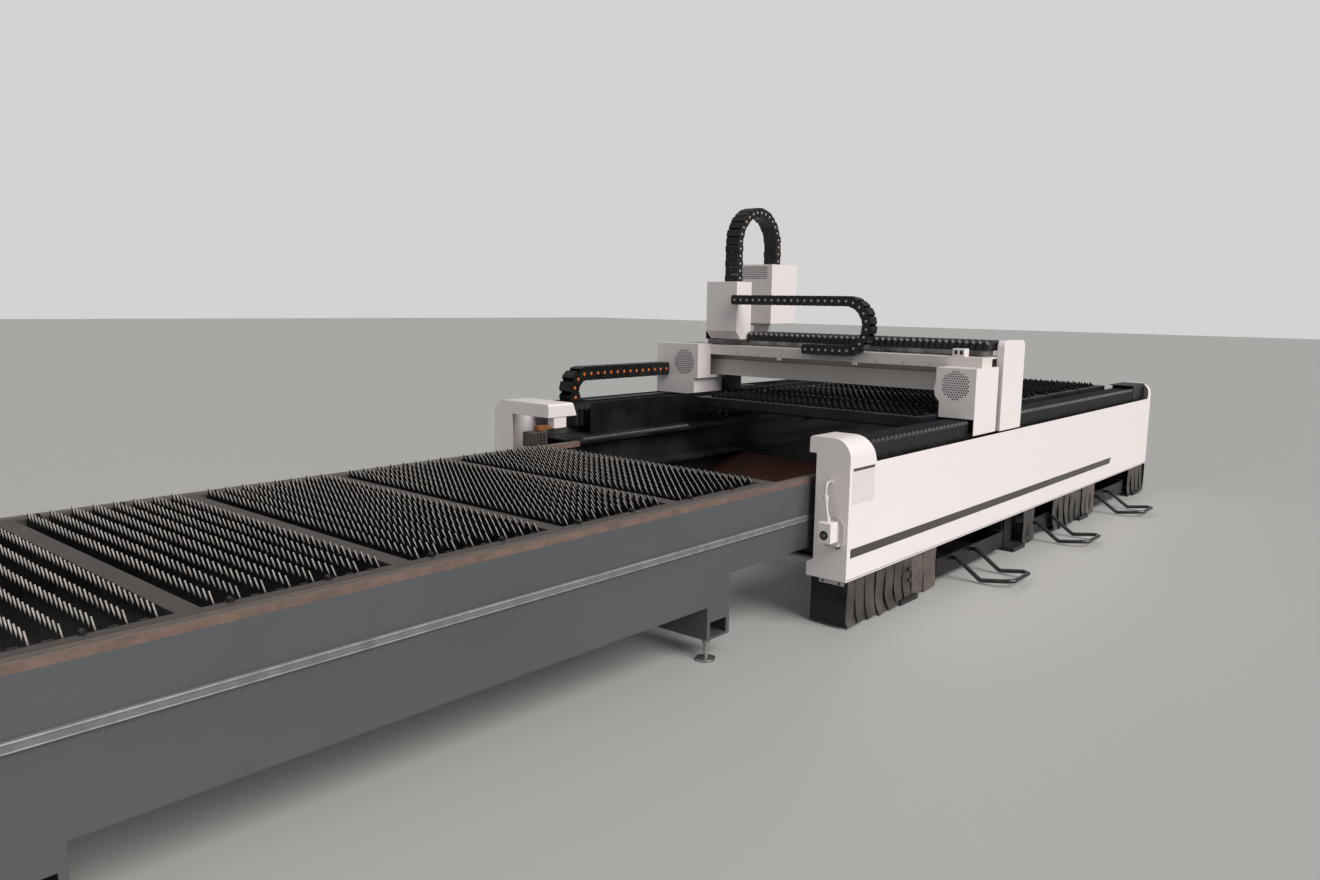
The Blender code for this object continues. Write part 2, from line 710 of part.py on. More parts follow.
def bed_side(name, outer, inner):
    """One hollow side beam of the bed, on legs with floor pads, with tray runners."""
    low = min(outer, inner)
    high = max(outer, inner)
    side = box(name, (BED_START, low, BED_BOTTOM), (BED_END, high, BED_TOP))
    hollow = box(
        name + "_hollow",
        (BED_START - OVERRUN, low + BED_WALL, BED_BOTTOM + BED_WALL),
        (BED_END + OVERRUN, high - BED_WALL, BED_TOP - BED_WALL),
    )
    combine(side, hollow, "DIFFERENCE")
    joint_top = BED_BOTTOM + BED_WALL / 2
    pad_low = low - PAD_OUT if outer < inner else low + BED_WALL
    pad_high = high - BED_WALL if outer < inner else high + PAD_OUT
    for index, place in enumerate(LEG_PLACES):
        leg = box(
            f"{name}_leg_{index + 1}",
            (place - LEG_WIDTH / 2, low + BED_WALL, PAD_THICK / 2),
            (place + LEG_WIDTH / 2, high - BED_WALL, joint_top),
        )
        combine(side, leg, "UNION")
        pad = box(
            f"{name}_pad_{index + 1}",
            (place - PAD_LENGTH / 2, pad_low, 0),
            (place + PAD_LENGTH / 2, pad_high, PAD_THICK),
        )
        combine(side, pad, "UNION")
    for index in range(SLAG_TRAY_COUNT):
        start = slag_tray_start(index)
        for towards, edge in ((1, start), (-1, start + SLAG_TRAY_WIDTH)):
            runner = plate(
                f"{name}_runner_{index + 1}_{'left' if towards > 0 else 'right'}",
                [runner_outline(edge, towards)],
                "XZ",
                low + BED_WALL / 2,
                high - BED_WALL / 2,
            )
            combine(side, runner, "UNION")
    return finish(side, BLACK_STEEL, MACHINE_ORIGIN)


def bed_cross_beam(name, start):
    """A cross beam between the two bed sides."""
    beam = box(
        name,
        (start, BED_NEAR_INNER + SEAT_GAP, CROSS_BEAM_TOP - CROSS_BEAM_DEPTH),
        (start + CROSS_BEAM_WIDTH, BED_FAR_INNER - SEAT_GAP, CROSS_BEAM_TOP),
    )
    return finish(beam, BLACK_STEEL, MACHINE_ORIGIN)


def cover_sections(reach, waist, flange):
    """The end view of a side cover and of the space inside it.

    The first number of a point is its distance in from the cover's outer face.
    """
    top = COVER_TOP
    sheet = COVER_SHEET
    outside = [(0, COVER_BOTTOM)]
    outside += arc(HOOD_RADIUS, top - HOOD_RADIUS, HOOD_RADIUS, 180, 90)
    lip_middle = reach - HOOD_LIP_RADIUS
    outside += arc(lip_middle, top - HOOD_LIP_RADIUS, HOOD_LIP_RADIUS, 90, 0)
    outside += [(reach, HOOD_UNDERSIDE), (waist, HOOD_UNDERSIDE), (waist, COVER_STEP_TOP)]
    outside += [(COVER_FOOT_REACH, COVER_STEP_BOTTOM), (COVER_FOOT_REACH, COVER_BOTTOM)]
    inside = [(flange, COVER_BOTTOM - OVERRUN), (flange, COVER_BOTTOM + sheet)]
    inside += [(sheet, COVER_BOTTOM + sheet)]
    inside += arc(HOOD_RADIUS, top - HOOD_RADIUS, HOOD_RADIUS - sheet, 180, 90)
    inside += arc(lip_middle, top - HOOD_LIP_RADIUS, HOOD_LIP_RADIUS - sheet, 90, 0)
    beyond = max(reach, COVER_FOOT_REACH) + OVERRUN
    inside += [(reach - sheet, HOOD_UNDERSIDE - sheet), (beyond, HOOD_UNDERSIDE - sheet)]
    inside += [(beyond, COVER_BOTTOM - OVERRUN)]
    return outside, inside


def side_cover(name, outer, inward, reach, waist, flange):
    """A white sheet cover along one side of the bed, with a hood at each end."""
    outside, inside = cover_sections(reach, waist, flange)
    outside = [(outer + inward * across, up) for across, up in outside]
    inside = [(outer + inward * across, up) for across, up in inside]
    cover = plate(name, [outside], "YZ", 0, COVER_LENGTH)
    space = plate(name + "_space", [inside], "YZ", COVER_SHEET, COVER_LENGTH - COVER_SHEET)
    combine(cover, space, "DIFFERENCE")
    if flange > COVER_FOOT_REACH:
        sheet_in = outer + inward * (COVER_FOOT_REACH - COVER_SHEET)
        sheet_y = sorted((sheet_in, outer + inward * flange))
        floor_low = (BED_START, sheet_y[0], COVER_BOTTOM)
        floor = box(name + "_floor", floor_low, (BED_END, sheet_y[1], COVER_BOTTOM + COVER_SHEET))
        combine(cover, floor, "UNION")
    slope_start = HOOD_LENGTH
    gap_low = COVER_PANEL_TOP
    end_start = COVER_LENGTH - END_POST_LENGTH
    lift = COVER_TOP + OVERRUN
    slant_run = HOOD_SLANT * (lift - gap_low) / (COVER_TOP - gap_low)
    gap = [(slope_start + HOOD_SLANT, gap_low), (end_start - HOOD_SLANT, gap_low)]
    gap += [(end_start - HOOD_SLANT + slant_run, lift), (slope_start + HOOD_SLANT - slant_run, lift)]
    side_a = outer - inward * OVERRUN
    side_b = outer + inward * (reach + OVERRUN)
    opening = plate(name + "_gap", [gap], "XZ", min(side_a, side_b), max(side_a, side_b))
    combine(cover, opening, "DIFFERENCE")
    return finish(cover, WHITE, MACHINE_ORIGIN)


def guide_rail(name, middle):
    """A linear guide rail on top of a bed beam."""
    rail = box(
        name,
        (BED_START + RAIL_MARGIN, middle - RAIL_WIDTH / 2, BED_TOP + SEAT_GAP),
        (BED_END - RAIL_MARGIN, middle + RAIL_WIDTH / 2, BED_TOP + RAIL_HEIGHT),
    )
    return finish(rail, BRIGHT_STEEL, MACHINE_ORIGIN)


def gear_rack(name, middle, side):
    """A toothed rack that lies beside a guide rail, with coarse teeth."""
    inner = middle + side * (SLIDER_WIDTH / 2 + SLIDER_GAP)
    outer = inner + side * RACK_WIDTH
    low = BED_TOP + SEAT_GAP
    top = low + RACK_HEIGHT
    start = BED_START + RAIL_MARGIN
    end = BED_END - RAIL_MARGIN
    count = int((end - start) / RACK_TOOTH_PITCH)
    pitch = (end - start) / count
    outline = [(end, low), (start, low)]
    for index in range(count):
        left = start + index * pitch
        outline.append((left, top - RACK_TOOTH_DEPTH))
        outline.append((left + pitch / 2, top))
    outline.append((end, top - RACK_TOOTH_DEPTH))
    rack = plate(name, [outline], "XZ", min(inner, outer), max(inner, outer))
    return finish(rack, BRIGHT_STEEL, MACHINE_ORIGIN)


def inner_guard():
    """The black sheet wall that stands along the far rail, with a foot flange."""
    face = GUARD_FACE_Y
    low = BED_TOP + SEAT_GAP
    outline = [(face, low), (face + GUARD_FOOT, low), (face + GUARD_FOOT, low + GUARD_SHEET)]
    outline += [(face + GUARD_SHEET, low + GUARD_SHEET), (face + GUARD_SHEET, GUARD_TOP), (face, GUARD_TOP)]
    outline = [(across - GUARD_FOOT, up) for across, up in outline]
    guard = plate("inner_guard", [outline], "YZ", GUARD_START, BELLOWS_END)
    return finish(guard, BLACK_STEEL, MACHINE_ORIGIN)


def chain_tray():
    """The open sheet tray beside the far beam that holds the long cable chain."""
    inner = BED_FAR_OUTER + SEAT_GAP
    sheet = TRAY_SHEET
    top = TRAY_FLOOR + TRAY_WALL
    outline = [(inner, top), (inner, TRAY_FOOT), (inner + sheet, TRAY_FOOT)]
    outline += [(inner + sheet, TRAY_FLOOR), (TRAY_OUTER, TRAY_FLOOR), (TRAY_OUTER, top)]
    outline += [(TRAY_OUTER - sheet, top), (TRAY_OUTER - sheet, TRAY_FLOOR + sheet)]
    outline += [(inner + sheet, TRAY_FLOOR + sheet), (inner + sheet, top)]
    tray = plate("chain_tray", [outline], "YZ", TRAY_START, TRAY_END)
    return finish(tray, BLACK_STEEL, MACHINE_ORIGIN)


def skirt_path(start, end, turns_low, turns_high):
    """Points of a wavy curtain seen from above, with a turn round a corner."""
    steps = max(2, round((end - start) / SKIRT_WAVE_PITCH)) * SKIRT_STEPS_PER_WAVE
    path = []
    for index in range(steps + 1):
        share = index / steps
        across = start + (end - start) * share
        waves = (end - start) / SKIRT_WAVE_PITCH
        path.append((across, SKIRT_INSET + SKIRT_WAVE * math.sin(2 * math.pi * waves * share)))
    if turns_low:
        path.insert(0, (start, SKIRT_END_DEPTH))
    if turns_high:
        path.append((end, SKIRT_END_DEPTH))
    return path


def thickened(path, thickness):
    """A closed outline around an open path, half the thickness to each side."""
    left = []
    right = []
    for index, point in enumerate(path):
        before = Vector(path[max(index - 1, 0)])
        after = Vector(path[min(index + 1, len(path) - 1)])
        along = (after - before).normalized()
        across = Vector((-along.y, along.x)) * thickness / 2
        left.append(tuple(Vector(point) + across))
        right.append(tuple(Vector(point) - across))
    return left + right[::-1]


def skirt(index, span):
    """One rubber curtain that hangs from the near cover to the floor."""
    low, high = span
    turns_low = index == 0
    turns_high = index == len(SKIRT_SPANS) - 1
    outline = thickened(skirt_path(low, high, turns_low, turns_high), SKIRT_SHEET)
    name = f"skirt_{index + 1}"
    curtain = plate(name, [outline], "XY", SKIRT_FLOOR_GAP, SKIRT_TOP)
    for number, place in enumerate(LEG_PLACES):
        if low - PAD_LENGTH < place < high + PAD_LENGTH:
            reach = PAD_LENGTH / 2 + SKIRT_SHEET
            space = box(
                f"{name}_space_{number + 1}",
                (place - reach, BED_NEAR_OUTER - PAD_OUT - SKIRT_SHEET, -OVERRUN),
                (place + reach, BED_NEAR_INNER, PAD_THICK + SKIRT_SHEET),
            )
            combine(curtain, space, "DIFFERENCE")
    return finish(curtain, SKIRT_RUBBER, MACHINE_ORIGIN)


def sensor_box():
    """The light-curtain sender on the end face: a box on a bent back plate."""
    low = Vector(SENSOR_LOW)
    high = low + Vector(SENSOR_SIZE)
    housing = box("sensor_box", low, high)
    back = box(
        "sensor_back",
        (high.x - SENSOR_BACK, low.y, low.z),
        (-SEAT_GAP, high.y, low.z + SENSOR_BACK_HEIGHT / 2),
    )
    combine(housing, back, "UNION")
    return finish(housing, WHITE, MACHINE_ORIGIN)


def smooth_route(points, steps):
    """Points on a Catmull-Rom curve through the route's own points."""
    padded = [points[0]] + list(points) + [points[-1]]
    route = []
    for index in range(1, len(padded) - 2):
        before, start, end, after = (Vector(padded[index + shift]) for shift in (-1, 0, 1, 2))
        for step in range(steps):
            share = step / steps
            place = 2 * start + (end - before) * share
            place += (2 * before - 5 * start + 4 * end - after) * share ** 2
            place += (3 * start - before - 3 * end + after) * share ** 3
            route.append(tuple(place / 2))
    route.append(tuple(points[-1]))
    return route


def sensor_lead():
    """The short lead between the end face and the sensor box."""
    lead = tube("sensor_lead", smooth_route(LEAD_ROUTE, 2), LEAD_RADIUS)
    return finish(lead, CABLE_GREY, MACHINE_ORIGIN)


def mirrored(value):
    """The same distance on the far side of the pallets' middle."""
    return 2 * PALLET_MIDDLE_Y - value


def pallet_track(name, far):
    """The two-level track of one bed side: a web with an upper and a lower flange."""
    web = NEAR_WEB_IN
    upper_low = UPPER_TRACK - UPPER_TRACK_THICK
    lower_low = LOWER_TRACK - LOWER_TRACK_THICK
    outline = [(web, lower_low), (LOWER_TRACK_REACH, lower_low), (LOWER_TRACK_REACH, LOWER_TRACK)]
    outline += [(web + TRACK_WEB, LOWER_TRACK), (web + TRACK_WEB, upper_low)]
    outline += [(UPPER_TRACK_REACH, upper_low), (UPPER_TRACK_REACH, UPPER_TRACK), (web, UPPER_TRACK)]
    if far:
        outline = [(mirrored(across), up) for across, up in outline]
    track = plate(name, [outline], "YZ", TRACK_START, TRACK_END)
    return finish(track, BLACK_STEEL, MACHINE_ORIGIN)


def slag_baffle():
    """The sloping wear plate across the bed below the pallets."""
    outline = [
        (BAFFLE_FOOT_X, BAFFLE_FOOT_Z),
        (BAFFLE_FOOT_X + BAFFLE_SHEET, BAFFLE_FOOT_Z),
        (BAFFLE_HEAD_X + BAFFLE_SHEET, BAFFLE_HEAD_Z),
        (BAFFLE_HEAD_X, BAFFLE_HEAD_Z),
    ]
    baffle = plate(
        "slag_baffle", [outline], "XZ", BED_NEAR_INNER + SEAT_GAP, BED_FAR_INNER - SEAT_GAP
    )
    return finish(baffle, BROWN_STEEL, MACHINE_ORIGIN)


def drive_chain():
    """The roller chain that lies on the far upper track and draws the pallets."""
    inner = mirrored(UPPER_TRACK_REACH)
    low = UPPER_TRACK + SEAT_GAP
    top = low + DRIVE_CHAIN_HEIGHT
    count = int((DRIVE_CHAIN_END - DRIVE_CHAIN_START) / DRIVE_CHAIN_LINK)
    outline = [(DRIVE_CHAIN_END, low), (DRIVE_CHAIN_START, low)]
    for index in range(count):
        left = DRIVE_CHAIN_START + index * DRIVE_CHAIN_LINK
        outline.append((left, top))
        outline.append((left + DRIVE_CHAIN_LINK * 0.7, top))
        outline.append((left + DRIVE_CHAIN_LINK * 0.85, top - DRIVE_CHAIN_NOTCH))
    outline.append((DRIVE_CHAIN_END, top))
    chain = plate("drive_chain", [outline], "XZ", inner, inner + DRIVE_CHAIN_WIDTH)
    return finish(chain, BRIGHT_STEEL, MACHINE_ORIGIN)


def table_side(name, far):
    """One side of the exchange table: sheet, worn rim rail, ridge and two box legs."""
    left_leg, right_leg = TABLE_LEG_STARTS
    face = TABLE_NEAR_Y
    rim_low = UPPER_TRACK - TABLE_RIM_HEIGHT
    bottom = TABLE_LEG_BOTTOM
    outline = [(TABLE_START, UPPER_TRACK), (TABLE_START, TABLE_DEEP), (left_leg, TABLE_DEEP)]
    outline += [(left_leg, bottom), (left_leg + TABLE_LEG_WIDTH, bottom)]
    outline += [(left_leg + TABLE_LEG_WIDTH, TABLE_DEEP), (right_leg, TABLE_DEEP), (right_leg, bottom)]
    outline += [(right_leg + TABLE_LEG_WIDTH, bottom), (right_leg + TABLE_LEG_WIDTH, TABLE_SHALLOW)]
    outline += [(TABLE_END, TABLE_SHALLOW), (TABLE_END, UPPER_TRACK)]
    windows = []
    for start in (left_leg, right_leg):
        low = start + (TABLE_LEG_WIDTH - TABLE_WINDOW_WIDTH) / 2
        windows.append(rectangle(low, low + TABLE_WINDOW_WIDTH, TABLE_WINDOW_LOW, TABLE_WINDOW_HIGH))
    sheet_low, sheet_high = face, face + TABLE_SHEET
    if far:
        sheet_low, sheet_high = mirrored(face + TABLE_SHEET), mirrored(face)
    side = plate(name, [outline] + windows, "XZ", sheet_low, sheet_high)
    depth = face + TABLE_LEG_DEPTH

    def across(low, high):
        return (mirrored(high), mirrored(low)) if far else (low, high)

    rim_y = across(face, UPPER_TRACK_REACH)
    rim = box(name + "_rim", (TABLE_START, rim_y[0], rim_low), (TABLE_END, rim_y[1], UPPER_TRACK))
    combine(side, rim, "UNION")
    ledge_y = across(face, LOWER_TRACK_REACH)
    ledge_low = LOWER_TRACK - LOWER_TRACK_THICK
    ledge = box(name + "_ledge", (TABLE_START, ledge_y[0], ledge_low), (TABLE_END, ledge_y[1], LOWER_TRACK))
    combine(side, ledge, "UNION")
    ridge_y = across(face - TABLE_RIDGE_OUT, face + TABLE_SHEET / 2)
    ridge_low = TABLE_RIDGE_Z - TABLE_RIDGE_HEIGHT / 2
    ridge = box(
        name + "_ridge",
        (TABLE_START, ridge_y[0], ridge_low),
        (-SEAT_GAP - OVERRUN, ridge_y[1], ridge_low + TABLE_RIDGE_HEIGHT),
    )
    combine(side, ridge, "UNION")
    for number, start in enumerate((left_leg, right_leg)):
        leg_y = across(face + TABLE_SHEET / 2, depth)
        top = TABLE_DEEP + TABLE_LEG_WALL
        leg = box(
            f"{name}_leg_{number + 1}",
            (start, leg_y[0], bottom),
            (start + TABLE_LEG_WIDTH, leg_y[1], top),
        )
        combine(side, leg, "UNION")
        wall = TABLE_LEG_WALL
        room_y = across(face - OVERRUN, depth + OVERRUN)
        low = start + (TABLE_LEG_WIDTH - TABLE_WINDOW_WIDTH) / 2
        room = box(
            f"{name}_room_{number + 1}",
            (low, room_y[0], TABLE_WINDOW_LOW),
            (low + TABLE_WINDOW_WIDTH, room_y[1], TABLE_WINDOW_HIGH),
        )
        combine(side, room, "DIFFERENCE")
        inside_y = across(face + TABLE_SHEET, depth - wall)
        inside = box(
            f"{name}_inside_{number + 1}",
            (start + wall, inside_y[0], TABLE_WINDOW_LOW),
            (start + TABLE_LEG_WIDTH - wall, inside_y[1], TABLE_DEEP),
        )
        combine(side, inside, "DIFFERENCE")
    return finish(side, SLATE, MACHINE_ORIGIN)


def table_beam(name, start, width, low, top):
    """A cross beam between the two sides of the exchange table."""
    near = TABLE_NEAR_Y + TABLE_SHEET + SEAT_GAP
    beam = box(name, (start, near, low), (start + width, mirrored(near), top))
    return finish(beam, SLATE, MACHINE_ORIGIN)


def foot(name, middle_x, middle_y):
    """A levelling foot: disc, cone, stem and lock nut, turned as one solid."""
    stem_top = TABLE_LEG_BOTTOM - SEAT_GAP
    nut_low = stem_top - FOOT_NUT_HEIGHT
    profile = [
        (0, stem_top),
        (FOOT_NUT_RADIUS, stem_top),
        (FOOT_NUT_RADIUS, nut_low),
        (FOOT_STEM_RADIUS, nut_low),
        (FOOT_STEM_RADIUS, FOOT_CONE_HEIGHT),
        (FOOT_DISC_RADIUS, FOOT_DISC_HEIGHT),
        (FOOT_DISC_RADIUS, 0),
        (0, 0),
    ]
    shape = bmesh.new()
    points = [shape.verts.new((radius, 0, height)) for radius, height in profile]
    for first, second in zip(points, points[1:]):
        shape.edges.new((first, second))
    mesh = bpy.data.meshes.new(name)
    shape.to_mesh(mesh)
    shape.free()
    piece = add_mesh_object(name, mesh, Matrix.Translation((middle_x, middle_y, 0)))
    turn = piece.modifiers.new("turn", "SCREW")
    turn.steps = WHEEL_SIDES
    turn.render_steps = WHEEL_SIDES
    turn.use_merge_vertices = True
    turn.merge_threshold = SEAT_GAP / 10
    turn.use_smooth_shade = False
    return finish(piece, BRIGHT_STEEL, MACHINE_ORIGIN)


def feet():
    """Four feet under the legs of the exchange table."""
    near = TABLE_NEAR_Y + FOOT_Y_INSET
    places = [(start + FOOT_X_INSET, near) for start in TABLE_LEG_STARTS]
    places += [(across, mirrored(up)) for across, up in places]
    for index, (middle_x, middle_y) in enumerate(places):
        foot(f"foot_{index + 1}", middle_x, middle_y)


def pallet_frame(name, start, top, depth, width, track, wheel_offset, holder, material):
    """A pallet: side bars, cross bars between its bays, and wheels under the sides."""
    near = PALLET_MIDDLE_Y - width / 2
    end = start + PALLET_LENGTH
    outer = rectangle(start, end, near, mirrored(near))
    bays = []
    for index in range(PALLET_BAYS):
        low = start + PALLET_BAR + index * PALLET_BAY
        high = low + PALLET_BAY - PALLET_BAR
        bays.append(rectangle(low, high, near + PALLET_SIDE, mirrored(near + PALLET_SIDE)))
    frame = plate(name, [outer] + bays, "XY", top - PALLET_BAR_DEPTH, top)
    for far in (False, True):
        tag = "far" if far else "near"

        def across(low, high):
            return (mirrored(high), mirrored(low)) if far else (low, high)

        side_y = across(near, near + PALLET_SIDE)
        side = box(f"{name}_{tag}_side", (start, side_y[0], top - depth), (end, side_y[1], top))
        combine(frame, side, "UNION")
        step = (PALLET_LENGTH - 2 * WHEEL_INSET) / (WHEELS_PER_SIDE - 1)
        wheel_y = across(near + wheel_offset, near + wheel_offset + WHEEL_WIDTH)
        bracket_low = near + wheel_offset + WHEEL_WIDTH - WHEEL_OVERLAP
        bracket_y = across(bracket_low, bracket_low + WHEEL_BRACKET)
        axle_z = track + WHEEL_RADIUS + SEAT_GAP
        half = WHEEL_BRACKET_LENGTH / 2
        for number in range(WHEELS_PER_SIDE):
            middle_x = start + WHEEL_INSET + number * step
            bracket = box(
                f"{name}_{tag}_bracket_{number + 1}",
                (middle_x - half, bracket_y[0], axle_z - half),
                (middle_x + half, bracket_y[1], top - depth / 2),
            )
            combine(frame, bracket, "UNION")
            wheel = cylinder(
                f"{name}_{tag}_wheel_{number + 1}",
                (middle_x, (wheel_y[0] + wheel_y[1]) / 2, axle_z),
                WHEEL_RADIUS,
                WHEEL_WIDTH,
                "Y",
                WHEEL_SIDES,
            )
            combine(frame, wheel, "UNION")
    return finish(frame, material, holder)


def pallet_slats(name, start, top, depth, width, holder):
    """Every slat of a pallet, tied by a bar under their middles.

    A slat is a plain blade up to its tips, and its teeth are left to the fine surface.
    """
    near = PALLET_MIDDLE_Y - width / 2 + PALLET_SIDE + SEAT_GAP
    tips = top + SLAT_ABOVE_RIM
    pitch = PALLET_BAY / (SLATS_PER_BAY + 1)
    first = start + PALLET_BAR / 2 + pitch
    slats = box(
        name,
        (first - SLAT_SHEET / 2, near, tips - SLAT_DEPTH),
        (first + SLAT_SHEET / 2, mirrored(near), tips),
    )
    repeat(slats, SLATS_PER_BAY, (pitch, 0, 0))
    repeat(slats, PALLET_BAYS, (PALLET_BAY, 0, 0))
    tie_low = (start + PALLET_BAR, PALLET_MIDDLE_Y - TIE_WIDTH / 2, top - depth)
    tie_end = start + PALLET_LENGTH - PALLET_BAR
    tie_high = (tie_end, PALLET_MIDDLE_Y + TIE_WIDTH / 2, top - PALLET_BAR_DEPTH - SEAT_GAP)
    tie = box(name + "_tie", tie_low, tie_high)
    combine(slats, tie, "UNION")
    return finish(slats, BLACK_STEEL, holder)


def slag_tray(index):
    """A slag tray: open sheet box with a rim, a front lip and a bent tube handle."""
    name = f"slag_tray_{index + 1}"
    start = slag_tray_start(index)
    end = start + SLAG_TRAY_WIDTH
    front = SLAG_TRAY_FRONT
    back = front + SLAG_TRAY_LENGTH
    rim = SLAG_TRAY_RIM
    sheet = SLAG_TRAY_SHEET
    holder = body_empty(name + "_origin", (start, front, SLAG_TRAY_BOTTOM), MACHINE_ORIGIN)
    tray = box(name, (start + rim, front, SLAG_TRAY_BOTTOM), (end - rim, back, SLAG_TRAY_TOP - sheet / 2))
    flange = box(name + "_flange", (start, front, SLAG_TRAY_TOP - sheet), (end, back, SLAG_TRAY_TOP))
    combine(tray, flange, "UNION")
    room = box(
        name + "_room",
        (start + rim + sheet, front + sheet, SLAG_TRAY_BOTTOM + sheet),
        (end - rim - sheet, back - sheet, SLAG_TRAY_TOP + OVERRUN),
    )
    combine(tray, room, "DIFFERENCE")
    middle = (start + end) / 2 + HANDLE_OFFSET
    left = middle - HANDLE_WIDTH / 2
    right = middle + HANDLE_WIDTH / 2
    cut = HANDLE_CHAMFER
    route = [
        (left, front + sheet / 2, HANDLE_BOLT_Z),
        (left, front - cut, HANDLE_BOLT_Z),
        (left, HANDLE_BEND_Y, HANDLE_BEND_Z),
        (left, HANDLE_OUT_Y + cut, HANDLE_OUT_Z),
        (left + cut, HANDLE_OUT_Y, HANDLE_OUT_Z),
        (right - cut, HANDLE_OUT_Y, HANDLE_OUT_Z),
        (right, HANDLE_OUT_Y + cut, HANDLE_OUT_Z),
        (right, HANDLE_BEND_Y, HANDLE_BEND_Z),
        (right, front - cut, HANDLE_BOLT_Z),
        (right, front + sheet / 2, HANDLE_BOLT_Z),
    ]
    handle = solid_from_curve(tube(name + "_handle", route, HANDLE_TUBE))
    combine(tray, handle, "UNION")
    return finish(tray, BLACK_STEEL, holder)


def bellows(name, plane, start, end, low, high, base, top, holder):
    """A folded cover as one solid with a zigzag top, along X or along Y."""
    count = max(2, round((end - start) / BELLOWS_FOLD))
    pitch = (end - start) / count
    outline = [(end, base), (start, base), (start, top)]
    for index in range(count):
        left = start + index * pitch
        outline.append((left + pitch / 2, top - BELLOWS_FOLD_DEPTH))
        outline.append((left + pitch, top))
    folds = plate(name, [outline], plane, low, high)
    return finish(folds, BLACK_FABRIC, holder)


def rail_bellows():
    """The four folded covers over the two guide rails, before and behind the gantry."""
    low = RAIL_BELLOWS_NEAR_LOW_Y
    lows = {"near": low, "far": low + FAR_RAIL_Y - NEAR_RAIL_Y}
    front = (HOOD_LENGTH + HOOD_SLANT + SEAT_GAP, SLIDER_START - SEAT_GAP)
    rear = (SLIDER_START + SLIDER_LENGTH + SEAT_GAP, BELLOWS_END)
    for side, start_y in lows.items():
        for place, (start, end) in (("front", front), ("rear", rear)):
            bellows(
                f"rail_bellows_{side}_{place}",
                "XZ",
                start,
                end,
                start_y,
                start_y + RAIL_BELLOWS_WIDTH,
                RAIL_BELLOWS_LOW,
                RAIL_BELLOWS_TOP,
                MACHINE_ORIGIN,
            )


def link_band(path, thickness, link):
    """The outline of a cable chain along a path, with a notch at each link's joint."""
    lengths = [0.0]
    for first, second in zip(path, path[1:]):
        lengths.append(lengths[-1] + (Vector(second) - Vector(first)).length)
    total = lengths[-1]
    count = round(total / link)
    left = []
    right = []

    def at(distance):
        distance = min(max(distance, 0.0), total)
        index = 0
        while index < len(lengths) - 2 and lengths[index + 1] < distance:
            index += 1
        span = lengths[index + 1] - lengths[index]
        share = (distance - lengths[index]) / span
        start = Vector(path[index])
        end = Vector(path[index + 1])
        along = (end - start).normalized()
        return start.lerp(end, share), Vector((-along.y, along.x))

    for number in range(count):
        for share, inset in (
            (CHAIN_NOTCH_SHARE / 2, 0.0),
            (1 - CHAIN_NOTCH_SHARE / 2, 0.0),
            (1.0, CHAIN_NOTCH),
        ):
            if number == count - 1 and share == 1.0:
                continue
            place, across = at((number + share) * total / count)
            half = thickness / 2 - inset
            left.append(tuple(place + across * half))
            right.append(tuple(place - across * half))
    first_place, first_across = at(0.0)
    last_place, last_across = at(total)
    half = thickness / 2
    left.insert(0, tuple(first_place + first_across * half))
    right.insert(0, tuple(first_place - first_across * half))
    left.append(tuple(last_place + last_across * half))
    right.append(tuple(last_place - last_across * half))
    return left + right[::-1]


CHAIN_ARC_STEPS = 24


def cable_chain_x():
    """The long chain: out of its tray, round the bend and on to the gantry's far end."""
    upper = CHAIN_X_BEND_Z + CHAIN_X_RADIUS
    lower = CHAIN_X_BEND_Z - CHAIN_X_RADIUS
    path = [(GANTRY_FRONT - SEAT_GAP, upper)]
    path += arc(CHAIN_X_BEND_X, CHAIN_X_BEND_Z, CHAIN_X_RADIUS, 90, 270, CHAIN_ARC_STEPS)
    path += [(CHAIN_X_LOWER_END, lower)]
    outline = link_band(path, CHAIN_X_THICK, CHAIN_LINK_X)
    chain = plate("cable_chain_x", [outline], "XZ", CHAIN_X_Y, CHAIN_X_Y + CHAIN_X_WIDTH)
    return finish(chain, BLACK_PLASTIC, MACHINE_ORIGIN)


def cable_chain_y():
    """The chain in front of the beam, from its ledge round to the carriage."""
    upper = CHAIN_Y_LOWER_Z + 2 * CHAIN_Y_RADIUS
    middle = CHAIN_Y_LOWER_Z + CHAIN_Y_RADIUS
    path = [(CARRIAGE_LOW_Y - SEAT_GAP, upper)]
    path += arc(CHAIN_Y_BEND_Y, middle, CHAIN_Y_RADIUS, 90, 270, CHAIN_ARC_STEPS)
    path += [(CHAIN_Y_LOWER_END, CHAIN_Y_LOWER_Z)]
    outline = link_band(path, CHAIN_Y_THICK, CHAIN_LINK_Y)
    back = LEDGE_FRONT - SEAT_GAP
    chain = plate("cable_chain_y", [outline], "YZ", back - CHAIN_Y_WIDTH, back)
    return finish(chain, BLACK_PLASTIC, GANTRY_ORIGIN)


def cable_chain_z():
    """The arched chain from the carriage cover up and over to the head cover."""
    radius = (CHAIN_Z_RIGHT_X - CHAIN_Z_LEFT_X) / 2
    middle = (CHAIN_Z_RIGHT_X + CHAIN_Z_LEFT_X) / 2
    path = [(CHAIN_Z_LEFT_X, CARRIAGE_TOP + SEAT_GAP)]
    path += arc(middle, CHAIN_Z_CENTRE, radius, 180, 0, CHAIN_ARC_STEPS)
    path += [(CHAIN_Z_RIGHT_X, HEAD_TOP + SEAT_GAP)]
    outline = link_band(path, CHAIN_Z_THICK, CHAIN_LINK_Z)
    chain = plate("cable_chain_z", [outline], "XZ", CHAIN_Z_LOW_Y, CHAIN_Z_LOW_Y + CHAIN_Z_WIDTH)
    return finish(chain, BLACK_PLASTIC, CARRIAGE_ORIGIN)


